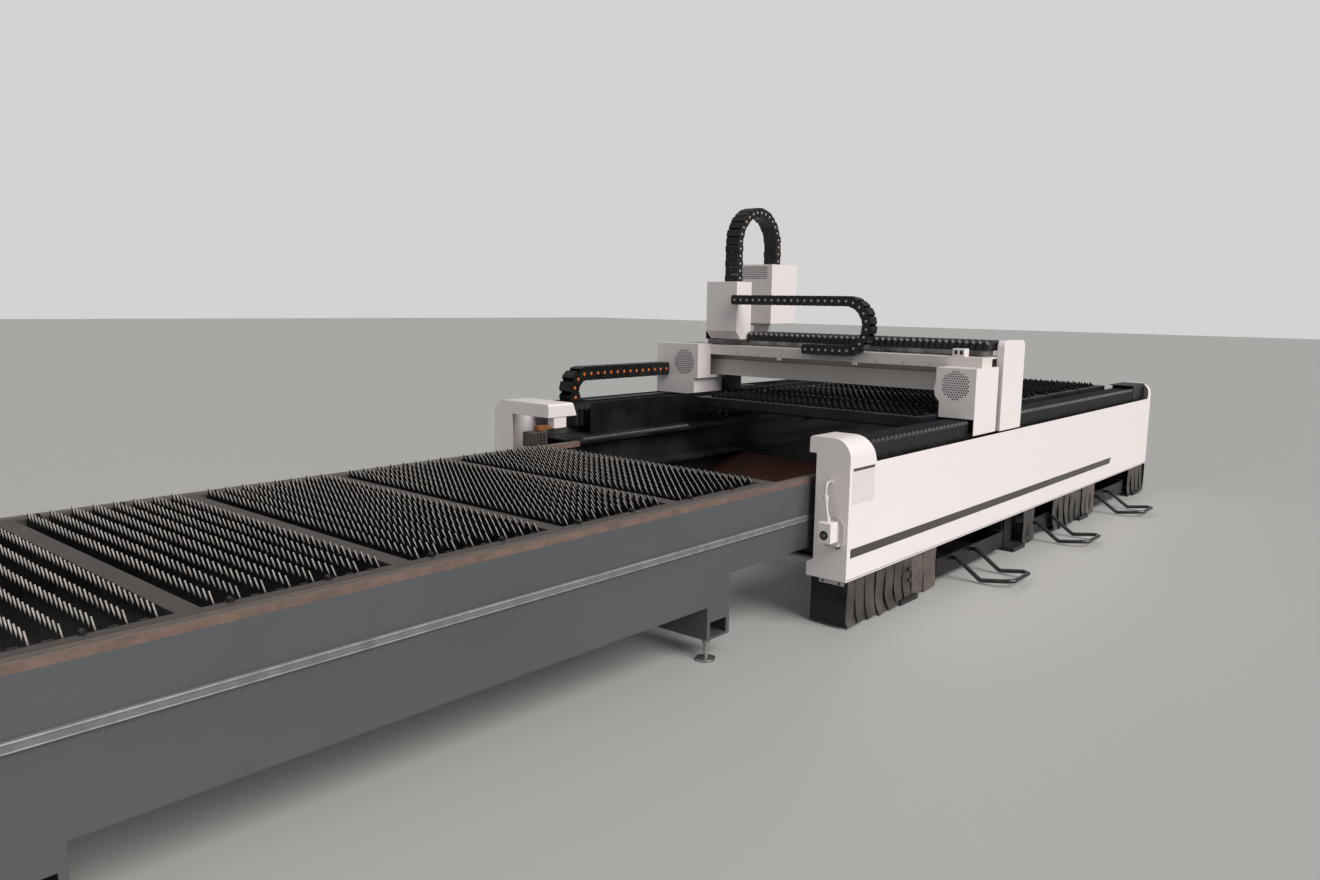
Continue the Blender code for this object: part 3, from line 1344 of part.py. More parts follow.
def gantry_beam():
    """The hollow cross beam, with a ledge along its front and a recess below it."""
    ledge_low = BEAM_TOP - LEDGE_HEIGHT
    recess_low = ledge_low - BEAM_RECESS
    recess_x = BEAM_FRONT + BEAM_RECESS_DEPTH
    outline = [(LEDGE_FRONT, BEAM_TOP), (LEDGE_FRONT, ledge_low), (recess_x, ledge_low)]
    outline += [(recess_x, recess_low), (BEAM_FRONT, recess_low), (BEAM_FRONT, BEAM_BOTTOM)]
    outline += [(BEAM_BACK, BEAM_BOTTOM), (BEAM_BACK, BEAM_TOP)]
    outline = [(up, across) for across, up in outline]
    wall = BEAM_WALL
    inside = rectangle(recess_x + wall, BEAM_BACK - wall, BEAM_BOTTOM + wall, BEAM_TOP - wall)
    outline = [(across, up) for up, across in outline]
    beam = plate("gantry_beam", [outline, inside], "XZ", BEAM_NEAR_END, BEAM_FAR_END)
    return finish(beam, GREY_BEAM, GANTRY_ORIGIN)


def end_box(name, outline, outer, inner, top, skirt):
    """A sheet cover on a beam end: closed in front, open below and behind.

    The room inside it ends at the narrowest place of the inner wall.
    """
    inward = 1 if inner > outer else -1
    sheet = END_BOX_SHEET
    rear = GANTRY_FRONT + END_BOX_LENGTH
    cover = plate(name, [outline], "YZ", GANTRY_FRONT, rear)
    low_y = min(outer, inner) + sheet
    high_y = max(outer, inner) - sheet
    room = box(
        name + "_room",
        (GANTRY_FRONT + sheet, low_y, END_BOX_BOTTOM - OVERRUN),
        (rear + OVERRUN, high_y, top - sheet),
    )
    combine(cover, room, "DIFFERENCE")
    if skirt:
        wall = sorted((outer, outer + inward * sheet))
        drop = box(
            name + "_drop",
            (GANTRY_FRONT, wall[0], END_BOX_SKIRT),
            (rear, wall[1], END_BOX_BOTTOM + sheet),
        )
        combine(cover, drop, "UNION")
    return cover


def gantry_end_near():
    """The white box on the beam's near end, cut back where the beam enters it."""
    outer = END_BOX_OUTER
    inner = END_BOX_INNER
    waist = inner - END_STEP_IN
    bulge_low = END_BULGE_Z - END_BULGE_HALF
    bulge_high = END_BULGE_Z + END_BULGE_HALF
    outline = [(outer, END_BOX_BOTTOM), (waist, END_BOX_BOTTOM), (waist, END_STEP_Z), (inner, bulge_low)]
    outline += [(inner + END_BULGE, END_BULGE_Z), (inner, bulge_high)]
    outline += [(inner, END_BOX_TOP), (outer, END_BOX_TOP)]
    cover = end_box("gantry_end_near", outline, outer, waist, END_BOX_TOP, True)
    beam_room = box(
        "gantry_end_near_beam_room",
        (LEDGE_FRONT - SEAT_GAP, BEAM_NEAR_END - SEAT_GAP, BEAM_BOTTOM - SEAT_GAP),
        (BEAM_BACK, END_BOX_INNER + END_BULGE + OVERRUN, END_BOX_TOP + OVERRUN),
    )
    combine(cover, beam_room, "DIFFERENCE")
    return finish(cover, WHITE, GANTRY_ORIGIN)


def gantry_end_far():
    """The white box on the beam's far end, which carries the long chain's end."""
    outer = FAR_BOX_OUTER
    inner = FAR_BOX_INNER
    step_in = inner + FAR_BOX_STEP_IN
    outline = [(outer, END_BOX_BOTTOM), (step_in, END_BOX_BOTTOM), (step_in, FAR_BOX_STEP)]
    outline += [(inner, FAR_BOX_STEP), (inner, FAR_BOX_TOP), (outer, FAR_BOX_TOP)]
    cover = end_box("gantry_end_far", outline, outer, step_in, FAR_BOX_TOP, False)
    beam_room = box(
        "gantry_end_far_beam_room",
        (LEDGE_FRONT - SEAT_GAP, FAR_BOX_INNER - OVERRUN, BEAM_BOTTOM - SEAT_GAP),
        (BEAM_BACK, BEAM_FAR_END + SEAT_GAP, FAR_BOX_TOP + OVERRUN),
    )
    combine(cover, beam_room, "DIFFERENCE")
    return finish(cover, WHITE, GANTRY_ORIGIN)


def gantry_plate_near():
    """The tall white plate with round top corners on the gantry's near side."""
    end = PLATE_START + PLATE_LENGTH
    radius = PLATE_RADIUS
    outline = [(PLATE_START, PLATE_BOTTOM), (end, PLATE_BOTTOM)]
    outline += arc(end - radius, PLATE_TOP - radius, radius, 0, 90)
    outline += arc(PLATE_START + radius, PLATE_TOP - radius, radius, 90, 180)
    cover = plate("gantry_plate_near", [outline], "XZ", PLATE_OUTER, PLATE_OUTER + PLATE_THICK)
    return finish(cover, WHITE, GANTRY_ORIGIN)


def gantry_slider(name, middle):
    """A pedestal with a groove for the guide rail, which carries one beam end."""
    rail_top = BED_TOP + RAIL_HEIGHT
    groove = RAIL_WIDTH / 2 + SLIDER_GAP
    half = SLIDER_WIDTH / 2
    low = rail_top - RAIL_HEIGHT / 2
    top = BEAM_BOTTOM - SEAT_GAP
    outline = [(middle - half, low), (middle - groove, low), (middle - groove, rail_top + SLIDER_GAP)]
    outline += [(middle + groove, rail_top + SLIDER_GAP), (middle + groove, low), (middle + half, low)]
    outline += [(middle + half, top), (middle - half, top)]
    slider = plate(name, [outline], "YZ", SLIDER_START, SLIDER_START + SLIDER_LENGTH)
    return finish(slider, BLACK_STEEL, GANTRY_ORIGIN)


def beam_rail():
    """The guide rail on top of the beam that the carriage runs on."""
    rail = box(
        "beam_rail",
        (BEAM_RAIL_X - BEAM_RAIL_WIDTH / 2, BEAM_NEAR_END + RAIL_MARGIN / 2, BEAM_TOP + SEAT_GAP),
        (BEAM_RAIL_X + BEAM_RAIL_WIDTH / 2, BEAM_FAR_END - RAIL_MARGIN / 2, BEAM_TOP + BEAM_RAIL_HEIGHT),
    )
    return finish(rail, BRIGHT_STEEL, GANTRY_ORIGIN)


def switch_box():
    """The small button box on the beam's near end."""
    low = (SWITCH_BOX_X, SWITCH_BOX_Y, BEAM_TOP + SEAT_GAP)
    high = tuple(start + size for start, size in zip(low, SWITCH_BOX))
    return finish(box("switch_box", low, high), WHITE, GANTRY_ORIGIN)


def beam_bellows():
    """The folded covers over the beam rail on both sides of the carriage."""
    base = BEAM_TOP + BEAM_RAIL_HEIGHT + SEAT_GAP
    spans = {
        "near": (BEAM_BELLOWS_END, CARRIAGE_LOW_Y - SEAT_GAP),
        "far": (CARRIAGE_LOW_Y + HEAD_WIDTH - ARM_FAR_MARGIN + SEAT_GAP, BEAM_BELLOWS_FAR),
    }
    for side, (start, end) in spans.items():
        count_name = f"beam_bellows_{side}"
        bellows(
            count_name,
            "YZ",
            start,
            end,
            BEAM_BELLOWS_FRONT,
            BEAM_BELLOWS_FRONT + BEAM_BELLOWS_WIDTH,
            base,
            BEAM_BELLOWS_TOP,
            GANTRY_ORIGIN,
        )


def carriage_cover():
    """The white cover in front of the carriage, with its lower front edge cut off."""
    front = CARRIAGE_FRONT
    rear = front + CARRIAGE_DEPTH
    outline = [(front, CARRIAGE_TOP), (front, CARRIAGE_CHAMFER_Z)]
    outline += [(front + CARRIAGE_CHAMFER_X, CARRIAGE_BOTTOM), (rear, CARRIAGE_BOTTOM), (rear, CARRIAGE_TOP)]
    cover = plate(
        "carriage_cover", [outline], "XZ", CARRIAGE_LOW_Y, CARRIAGE_LOW_Y + CARRIAGE_WIDTH
    )
    room = box(
        "carriage_cover_room",
        (front + CARRIAGE_CHAMFER_X, CARRIAGE_LOW_Y + HEAD_SHEET, CARRIAGE_BOTTOM - OVERRUN),
        (rear - HEAD_SHEET, CARRIAGE_LOW_Y + CARRIAGE_WIDTH - HEAD_SHEET, CARRIAGE_TOP - HEAD_SHEET),
    )
    combine(cover, room, "DIFFERENCE")
    return finish(cover, WHITE, CARRIAGE_ORIGIN)


def carriage_saddle():
    """The carriage itself: a block on the beam rail, an arm to the rear and a mast."""
    low_y = CARRIAGE_LOW_Y + MAST_SIDE_MARGIN
    high_y = CARRIAGE_LOW_Y + CARRIAGE_WIDTH - MAST_SIDE_MARGIN
    rail_top = BEAM_TOP + BEAM_RAIL_HEIGHT
    groove = BEAM_RAIL_WIDTH / 2 + SLIDER_GAP
    low = BEAM_TOP + BEAM_RAIL_HEIGHT / 2
    rear = BEAM_RAIL_X + (BEAM_RAIL_X - SADDLE_FRONT)
    outline = [(SADDLE_FRONT, low), (BEAM_RAIL_X - groove, low)]
    outline += [(BEAM_RAIL_X - groove, rail_top + SLIDER_GAP), (BEAM_RAIL_X + groove, rail_top + SLIDER_GAP)]
    outline += [(BEAM_RAIL_X + groove, low), (rear, low), (rear, SADDLE_TOP), (SADDLE_FRONT, SADDLE_TOP)]
    saddle = plate("carriage_saddle", [outline], "XZ", low_y, high_y)
    arm_high = CARRIAGE_LOW_Y + HEAD_WIDTH - ARM_FAR_MARGIN
    arm_low = arm_high - ARM_WIDTH
    arm = box(
        "carriage_saddle_arm",
        (rear - OVERRUN, arm_low, SADDLE_LOW),
        (MAST_FRONT + MAST_THICK / 2, arm_high, SADDLE_TOP),
    )
    combine(saddle, arm, "UNION")
    mast = box(
        "carriage_saddle_mast",
        (MAST_FRONT, CARRIAGE_LOW_Y + MAST_SIDE_MARGIN, MAST_BOTTOM),
        (MAST_FRONT + MAST_THICK, arm_high, MAST_TOP),
    )
    combine(saddle, mast, "UNION")
    return finish(saddle, GREY_BEAM, CARRIAGE_ORIGIN)


def head_cover():
    """The white cover round the head, open below, with a slot for the carriage arm."""
    sheet = HEAD_SHEET
    low = (HEAD_FRONT, HEAD_LOW_Y, HEAD_BOTTOM)
    high = (HEAD_FRONT + HEAD_DEPTH, HEAD_LOW_Y + HEAD_WIDTH, HEAD_TOP)
    cover = box("head_cover", low, high)
    room = box(
        "head_cover_room",
        (low[0] + sheet, low[1] + sheet, low[2] - OVERRUN),
        (high[0] - sheet, high[1] - sheet, high[2] - sheet),
    )
    combine(cover, room, "DIFFERENCE")
    arm_high = CARRIAGE_LOW_Y + HEAD_WIDTH - ARM_FAR_MARGIN
    slot = box(
        "head_cover_slot",
        (HEAD_FRONT - OVERRUN, arm_high - ARM_WIDTH - HEAD_SLOT_MARGIN, HEAD_BOTTOM - OVERRUN),
        (HEAD_FRONT + 2 * sheet, arm_high + sheet, HEAD_BOTTOM + HEAD_SLOT_HEIGHT),
    )
    combine(cover, slot, "DIFFERENCE")
    return finish(cover, WHITE, HEAD_ORIGIN)


def cutting_head():
    """The head: a slide block on the mast, a collimator barrel and a nozzle below."""
    front = MAST_FRONT + MAST_THICK + SLIDER_GAP
    half = LASER_BLOCK_WIDTH / 2
    middle = HEAD_MIDDLE_Y
    back = HEAD_FRONT + HEAD_DEPTH - HEAD_SHEET - SEAT_GAP
    block = box(
        "cutting_head",
        (front, middle - half, HEAD_BOTTOM + OVERRUN),
        (back, middle + half, LASER_BLOCK_TOP),
    )
    barrel_low = NOZZLE_TIP + NOZZLE_LENGTH
    barrel_top = LASER_BLOCK_TOP - OVERRUN
    barrel = cylinder(
        "cutting_head_barrel",
        (NOZZLE_X, middle, (barrel_low + barrel_top) / 2),
        COLLIMATOR_RADIUS,
        barrel_top - barrel_low,
        "Z",
    )
    combine(block, barrel, "UNION")
    return finish(block, BLACK_STEEL, HEAD_ORIGIN)


def nozzle():
    """The copper nozzle cone below the head."""
    tip = cylinder(
        "nozzle",
        (NOZZLE_X, HEAD_MIDDLE_Y, NOZZLE_TIP + (NOZZLE_LENGTH - SEAT_GAP) / 2),
        NOZZLE_TIP_RADIUS,
        NOZZLE_LENGTH - SEAT_GAP,
        "Z",
        tip_radius=NOZZLE_RADIUS,
    )
    return finish(tip, BRIGHT_STEEL, HEAD_ORIGIN)


def build_bed():
    """Everything of the bed that stands still."""
    bed_side("bed_side_near", BED_NEAR_OUTER, BED_NEAR_INNER)
    bed_side("bed_side_far", BED_FAR_OUTER, BED_FAR_INNER)
    bed_cross_beam("bed_beam_front", CROSS_BEAM_FRONT_X)
    bed_cross_beam("bed_beam_rear", CROSS_BEAM_REAR_X)
    near_flange = BED_NEAR_OUTER - SEAT_GAP
    far_flange = FAR_COVER_OUTER - BED_FAR_OUTER - SEAT_GAP
    side_cover("cover_near", 0, 1, NEAR_HOOD_REACH, NEAR_WAIST, near_flange)
    side_cover("cover_far", FAR_COVER_OUTER, -1, FAR_HOOD_REACH, FAR_WAIST, far_flange)
    guide_rail("guide_rail_near", NEAR_RAIL_Y)
    guide_rail("guide_rail_far", FAR_RAIL_Y)
    gear_rack("gear_rack_near", NEAR_RAIL_Y, -1)
    gear_rack("gear_rack_far", FAR_RAIL_Y, 1)
    inner_guard()
    chain_tray()
    pallet_track("pallet_track_near", False)
    pallet_track("pallet_track_far", True)
    slag_baffle()
    drive_chain()
    for index, span in enumerate(SKIRT_SPANS):
        skirt(index, span)
    sensor_box()
    sensor_lead()


def build_table():
    """The exchange table in front of the bed."""
    table_side("table_side_near", False)
    table_side("table_side_far", True)
    table_beam("table_end", TABLE_START, TABLE_SHEET, TABLE_DEEP, LOWER_TRACK - LOWER_TRACK_THICK - SEAT_GAP)
    table_beam(
        "table_cross_beam",
        TABLE_CROSS_X,
        TABLE_CROSS_WIDTH,
        TABLE_CROSS_TOP - TABLE_CROSS_DEPTH,
        TABLE_CROSS_TOP,
    )
    feet()


def build_pallets():
    """Pallet A on the exchange table and pallet B in the bed above its level."""
    pallet_frame(
        "pallet_a_frame",
        PALLET_A_START,
        PALLET_A_TOP,
        PALLET_A_DEPTH,
        PALLET_A_WIDTH,
        LOWER_TRACK,
        WHEEL_A_OFFSET,
        PALLET_A_ORIGIN,
        RIM_STEEL,
    )
    pallet_slats(
        "pallet_a_slats", PALLET_A_START, PALLET_A_TOP, PALLET_A_DEPTH, PALLET_A_WIDTH, PALLET_A_ORIGIN
    )
    pallet_frame(
        "pallet_b_frame",
        PALLET_B_START,
        PALLET_B_TOP,
        PALLET_B_DEPTH,
        PALLET_B_WIDTH,
        UPPER_TRACK,
        WHEEL_B_OFFSET,
        PALLET_B_ORIGIN,
        BLACK_STEEL,
    )
    pallet_slats(
        "pallet_b_slats", PALLET_B_START, PALLET_B_TOP, PALLET_B_DEPTH, PALLET_B_WIDTH, PALLET_B_ORIGIN
    )


def build_gantry():
    """The gantry with its end covers, the carriage and the head."""
    gantry_beam()
    gantry_end_near()
    gantry_end_far()
    gantry_plate_near()
    gantry_slider("gantry_slider_near", NEAR_RAIL_Y)
    gantry_slider("gantry_slider_far", FAR_RAIL_Y)
    beam_rail()
    switch_box()
    carriage_cover()
    carriage_saddle()
    head_cover()
    cutting_head()
    nozzle()


def main():
    """Build the machine in its datum frame, then move the frame to its origin."""
    build_bed()
    build_table()
    build_pallets()
    for index in range(SLAG_TRAY_COUNT):
        slag_tray(index)
    build_gantry()
    rail_bellows()
    beam_bellows()
    cable_chain_x()
    cable_chain_y()
    cable_chain_z()
    settle_modifiers()
    MACHINE_ORIGIN.location = (-ORIGIN_X, -ORIGIN_Y, 0)
    bpy.context.view_layer.update()


main()
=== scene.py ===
# %% [markdown]
# # An open laser cutter with an exchange table
#
# This lesson dresses a machine whose solids already exist. The solids fix every size and every
# moving part, and the cells below give them paint, steel, rubber, folded cloth and chain links.
# All places are written in the machine's own datum frame: X = 0 at the end of the white side
# covers, Y = 0 at the near cover's outer face and Z = 0 on the floor.

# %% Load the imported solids
import json
import math
import random

import bmesh
import bpy
from mathutils import Matrix, Vector

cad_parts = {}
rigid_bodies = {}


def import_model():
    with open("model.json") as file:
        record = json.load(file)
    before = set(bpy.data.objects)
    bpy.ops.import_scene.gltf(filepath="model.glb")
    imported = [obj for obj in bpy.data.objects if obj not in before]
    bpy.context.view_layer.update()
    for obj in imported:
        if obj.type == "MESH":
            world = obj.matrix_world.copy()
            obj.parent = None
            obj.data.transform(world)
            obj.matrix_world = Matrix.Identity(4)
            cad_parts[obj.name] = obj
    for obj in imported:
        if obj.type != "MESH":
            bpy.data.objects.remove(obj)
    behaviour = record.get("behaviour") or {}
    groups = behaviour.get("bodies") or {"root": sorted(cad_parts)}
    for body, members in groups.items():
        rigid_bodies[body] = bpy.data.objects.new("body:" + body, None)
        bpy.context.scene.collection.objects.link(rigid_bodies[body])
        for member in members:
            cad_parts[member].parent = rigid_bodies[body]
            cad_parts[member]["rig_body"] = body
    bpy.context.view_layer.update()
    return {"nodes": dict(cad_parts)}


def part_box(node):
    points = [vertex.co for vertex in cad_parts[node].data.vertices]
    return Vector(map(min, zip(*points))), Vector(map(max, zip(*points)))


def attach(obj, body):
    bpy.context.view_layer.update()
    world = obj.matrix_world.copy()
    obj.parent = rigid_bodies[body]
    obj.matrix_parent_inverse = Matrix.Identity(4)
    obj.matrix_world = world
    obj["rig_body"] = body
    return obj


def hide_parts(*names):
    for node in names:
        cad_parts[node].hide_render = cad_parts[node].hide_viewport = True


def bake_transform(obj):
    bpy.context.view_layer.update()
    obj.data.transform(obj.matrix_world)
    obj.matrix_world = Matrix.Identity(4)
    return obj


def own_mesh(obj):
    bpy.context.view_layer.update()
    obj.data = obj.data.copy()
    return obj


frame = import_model()
nodes = frame["nodes"]
cover_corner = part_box("cover_near")[0]
datum = Vector((cover_corner.x, cover_corner.y, 0.0))
print("solids:", len(nodes), "datum:", tuple(round(value, 4) for value in datum))

# %% [markdown]
# The camera comes first, because every later judgement is made through it. Its place and lens were
# worked out from the parallel edges of the machine. The rotation is built from three directions:
# where the lens looks, its right side and its top.

# %% Camera
camera_place = Vector((-3.8939, -2.1999, 1.4976))
camera_yaw = math.radians(40.61903811)
camera_pitch = math.radians(-8.01481931)
camera_roll = math.radians(0.87207248)
focal_pixels = 981.5703
photo_width = 1320
sensor_width = 36.0
far_clip = 200
looks_at = Vector(
    (
        math.cos(camera_pitch) * math.cos(camera_yaw),
        math.cos(camera_pitch) * math.sin(camera_yaw),
        math.sin(camera_pitch),
    )
)
level_right = looks_at.cross(Vector((0, 0, 1))).normalized()
level_up = level_right.cross(looks_at)
right_side = level_right * math.cos(camera_roll) + level_up * math.sin(camera_roll)
top_side = level_up * math.cos(camera_roll) - level_right * math.sin(camera_roll)
camera_data = bpy.data.cameras.new("camera")
camera_data.sensor_width = sensor_width
camera_data.sensor_fit = "HORIZONTAL"
camera_data.lens = focal_pixels / photo_width * sensor_width
camera_data.clip_end = far_clip
camera = bpy.data.objects.new("camera", camera_data)
bpy.context.scene.collection.objects.link(camera)
turn = Matrix((right_side, top_side, -looks_at)).transposed().to_4x4()
camera.matrix_world = Matrix.Translation(datum + camera_place) @ turn
bpy.context.scene.camera = camera
bpy.context.scene.view_settings.view_transform = "Standard"
print("camera lens in mm:", round(camera_data.lens, 2))

# %% [markdown]
# Soft light has no hard edge to its shadows. One sun with a very wide disc gives that and faces the
# near side, so the end faces stay in soft shade. A weak second one and the world fill that shade.
# A white near panel then renders about as white as its colour is written.

# %% Lights and floor
def add_sun(name, aim, strength, spread, colour):
    """A soft sun that shines along a direction."""
    lamp = bpy.data.lights.new(name, "SUN")
    lamp.energy = strength
    lamp.angle = math.radians(spread)
    lamp.color = colour
    holder = bpy.data.objects.new(name, lamp)
    holder.rotation_euler = Vector(aim).to_track_quat("-Z", "Y").to_euler()
    bpy.context.scene.collection.objects.link(holder)
    return holder


add_sun("window_light", (0.04, 0.77, -0.64), 2.95, 44, (1.0, 0.965, 0.95))
add_sun("end_light", (0.80, 0.05, -0.60), 0.22, 70, (1.0, 0.98, 0.96))
world = bpy.data.worlds.new("soft_room")
bpy.context.scene.world = world
world.use_nodes = True
world_nodes = world.node_tree.nodes
world_links = world.node_tree.links
fill = world_nodes["Background"]
fill.inputs["Color"].default_value = (0.93, 0.93, 0.95, 1)
fill.inputs["Strength"].default_value = 0.27
seen = world_nodes.new("ShaderNodeBackground")
seen.inputs["Color"].default_value = (0.66, 0.65, 0.64, 1)
seen.inputs["Strength"].default_value = 1.0
ray = world_nodes.new("ShaderNodeLightPath")
choose = world_nodes.new("ShaderNodeMixShader")
world_links.new(ray.outputs["Is Camera Ray"], choose.inputs["Fac"])
world_links.new(fill.outputs["Background"], choose.inputs[1])
world_links.new(seen.outputs["Background"], choose.inputs[2])
world_links.new(choose.outputs["Shader"], world_nodes["World Output"].inputs["Surface"])

floor_reach = 60
floor_mesh = bpy.data.meshes.new("floor")
floor_shape = bmesh.new()
bmesh.ops.create_grid(floor_shape, x_segments=1, y_segments=1, size=floor_reach)
floor_shape.to_mesh(floor_mesh)
floor_shape.free()
floor = bpy.data.objects.new("floor", floor_mesh)
bpy.context.scene.collection.objects.link(floor)
floor_paint = bpy.data.materials.new("floor_paint")
floor_paint.use_nodes = True
floor_shader = floor_paint.node_tree.nodes["Principled BSDF"]
floor_shader.inputs["Base Color"].default_value = (0.47, 0.475, 0.455, 1)
floor_shader.inputs["Roughness"].default_value = 0.5
floor_mesh.materials.append(floor_paint)

# %% [markdown]
# Painted steel is never one flat colour. A slow noise shifts its tone, a fine noise gives the skin
# of the paint, and dust settles on faces that look up. Object coordinates are used, because every
# mesh here lies in the machine's frame, so the pattern has its real scale.

# %% The paint recipe
def node_of(tree, kind, **values):
    """A shader node with its named inputs set."""
    made = tree.nodes.new(kind)
    for label, value in values.items():
        made.inputs[label.replace("_", " ")].default_value = value
    return made


def tone(colour):
    """A colour with its alpha."""
    return (*colour, 1.0)


def blend_colours(tree, share, first, second):
    """Mix two colours, each a colour or an output, by an output between 0 and 1."""
    mix = tree.nodes.new("ShaderNodeMix")
    mix.data_type = "RGBA"
    tree.links.new(share, mix.inputs["Factor"])
    for socket, value in ((mix.inputs[6], first), (mix.inputs[7], second)):
        if isinstance(value, tuple):
            socket.default_value = tone(value)
        else:
            tree.links.new(value, socket)
    return mix.outputs[2]


def multiply(tree, first, second):
    """The product of two outputs."""
    product = tree.nodes.new("ShaderNodeMath")
    product.operation = "MULTIPLY"
    tree.links.new(first, product.inputs[0])
    tree.links.new(second, product.inputs[1])
    return product.outputs[0]


def ramp(tree, source, low, high, start=0.0, end=1.0):
    """Map an output from low..high to start..end, held at both ends."""
    step = node_of(tree, "ShaderNodeMapRange", From_Min=low, From_Max=high, To_Min=start, To_Max=end)
    tree.links.new(source, step.inputs["Value"])
    return step.outputs["Result"]


def paint(name, colour, second, share=0.5, patch=3.0, grain=260.0, bump=0.08, rough=0.45,
          spread=0.12, metal=0.0, dust=0.0, dust_colour=(0.30, 0.28, 0.26), coat=0.0):
    """A painted or plain finish with slow patches, a fine skin and some dust on top."""
    material = bpy.data.materials.new(name)
    material.use_nodes = True
    tree = material.node_tree
    shader = tree.nodes["Principled BSDF"]
    shader.inputs["Metallic"].default_value = metal
    shader.inputs["Coat Weight"].default_value = coat
    where = tree.nodes.new("ShaderNodeTexCoord").outputs["Object"]
    slow = node_of(tree, "ShaderNodeTexNoise", Scale=patch, Detail=7.0, Roughness=0.62)
    fine = node_of(tree, "ShaderNodeTexNoise", Scale=grain, Detail=3.0, Roughness=0.5)
    tree.links.new(where, slow.inputs["Vector"])
    tree.links.new(where, fine.inputs["Vector"])
    patches = ramp(tree, slow.outputs["Fac"], 0.42, 0.68, 0.0, share)
    shown = blend_colours(tree, patches, colour, second)
    if dust:
        facing = tree.nodes.new("ShaderNodeSeparateXYZ")
        surface = tree.nodes.new("ShaderNodeNewGeometry")
        tree.links.new(surface.outputs["Normal"], facing.inputs["Vector"])
        upward = ramp(tree, facing.outputs["Z"], 0.55, 1.0, 0.0, dust)
        patchy = multiply(tree, upward, ramp(tree, slow.outputs["Fac"], 0.35, 0.6, 0.4, 1.0))
        shown = blend_colours(tree, patchy, shown, dust_colour)
    tree.links.new(shown, shader.inputs["Base Color"])
    gloss = ramp(tree, slow.outputs["Fac"], 0.35, 0.7, rough - spread, rough + spread)
    tree.links.new(gloss, shader.inputs["Roughness"])
    skin = node_of(tree, "ShaderNodeBump", Strength=bump, Distance=0.002)
    tree.links.new(fine.outputs["Fac"], skin.inputs["Height"])
    tree.links.new(skin.outputs["Normal"], shader.inputs["Normal"])
    return material


print("paint recipe is ready")

# %% [markdown]
# The same small recipe serves all the plain finishes. Each has two colours, the share of the second
# one, the scale of its patches and of its fine grain, and how rough and how dusty it is.

# %% Plain finishes
white = paint(
    "cover_white", (0.86, 0.80, 0.79), (0.80, 0.735, 0.72),
    share=0.35, patch=1.4, grain=700, bump=0.03, rough=0.34, spread=0.06,
)
slate = paint(
    "table_slate", (0.075, 0.080, 0.088), (0.105, 0.108, 0.112),
    share=0.8, patch=2.2, grain=300, bump=0.06, rough=0.42, spread=0.12, dust=0.2,
)
black = paint(
    "bed_black", (0.006, 0.007, 0.008), (0.020, 0.019, 0.018),
    share=0.7, patch=4.0, grain=240, bump=0.10, rough=0.40, spread=0.14, dust=0.35,
    dust_colour=(0.060, 0.056, 0.052),
)
night = paint(
    "pallet_blue_black", (0.005, 0.009, 0.012), (0.012, 0.017, 0.021),
    share=0.8, patch=5.0, grain=200, bump=0.10, rough=0.36, spread=0.12, dust=0.5,
    dust_colour=(0.075, 0.078, 0.080),
)
worn = paint(
    "pallet_worn_steel", (0.085, 0.074, 0.067), (0.030, 0.027, 0.026),
    share=0.9, patch=7.0, grain=220, bump=0.16, rough=0.55, spread=0.15, metal=0.25, dust=0.5,
    dust_colour=(0.155, 0.132, 0.117),
)
steel = paint(
    "bright_steel", (0.42, 0.41, 0.40), (0.20, 0.19, 0.18),
    share=0.8, patch=9.0, grain=300, bump=0.08, rough=0.34, spread=0.12, metal=0.9,
)
grey = paint(
    "beam_grey", (0.42, 0.40, 0.385), (0.34, 0.32, 0.31),
    share=0.5, patch=2.0, grain=500, bump=0.04, rough=0.42, spread=0.08, dust=0.2,
)
pale = paint(
    "beam_pale", (0.74, 0.69, 0.66), (0.64, 0.59, 0.56),
    share=0.5, patch=2.0, grain=500, bump=0.04, rough=0.42, spread=0.08,
)
brown = paint(
    "heated_sheet", (0.075, 0.027, 0.016), (0.022, 0.012, 0.010),
    share=0.9, patch=9.0, grain=150, bump=0.3, rough=0.6, spread=0.15, metal=0.2, dust=0.3,
    dust_colour=(0.12, 0.062, 0.042),
)
plastic = paint(
    "chain_plastic", (0.007, 0.007, 0.0075), (0.016, 0.0155, 0.015),
    share=0.6, patch=20.0, grain=400, bump=0.06, rough=0.36, spread=0.08, dust=0.25,
    dust_colour=(0.05, 0.048, 0.046),
)
rubber = paint(
    "skirt_rubber", (0.036, 0.033, 0.031), (0.105, 0.088, 0.078),
    share=0.9, patch=6.0, grain=130, bump=0.18, rough=0.48, spread=0.12,
)
cloth = paint(
    "bellows_cloth", (0.0050, 0.0052, 0.0056), (0.011, 0.0108, 0.0106),
    share=0.6, patch=12.0, grain=900, bump=0.10, rough=0.38, spread=0.08, dust=0.22,
    dust_colour=(0.035, 0.034, 0.033),
)
gloss_black = paint(
    "handle_black", (0.006, 0.006, 0.0065), (0.012, 0.012, 0.012),
    share=0.5, patch=5.0, grain=200, bump=0.02, rough=0.16, spread=0.05, coat=0.4,
)
print("finishes:", len(bpy.data.materials))

# %% [markdown]
# A folded steel sheet has no knife edges: each bend has a small radius that catches the light. The
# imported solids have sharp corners, so a copy of a solid is welded, its flat triangles are joined
# back into large faces, and a Bevel modifier rounds the corners. The copy stands for the solid.

# %% Dress a solid
def place_piece(piece, body, stands_for=()):
    """Hang a finished piece on its body and say which solids it stands for."""
    if body is not None:
        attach(piece, body)
    if stands_for:
        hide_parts(*stands_for)
    return piece


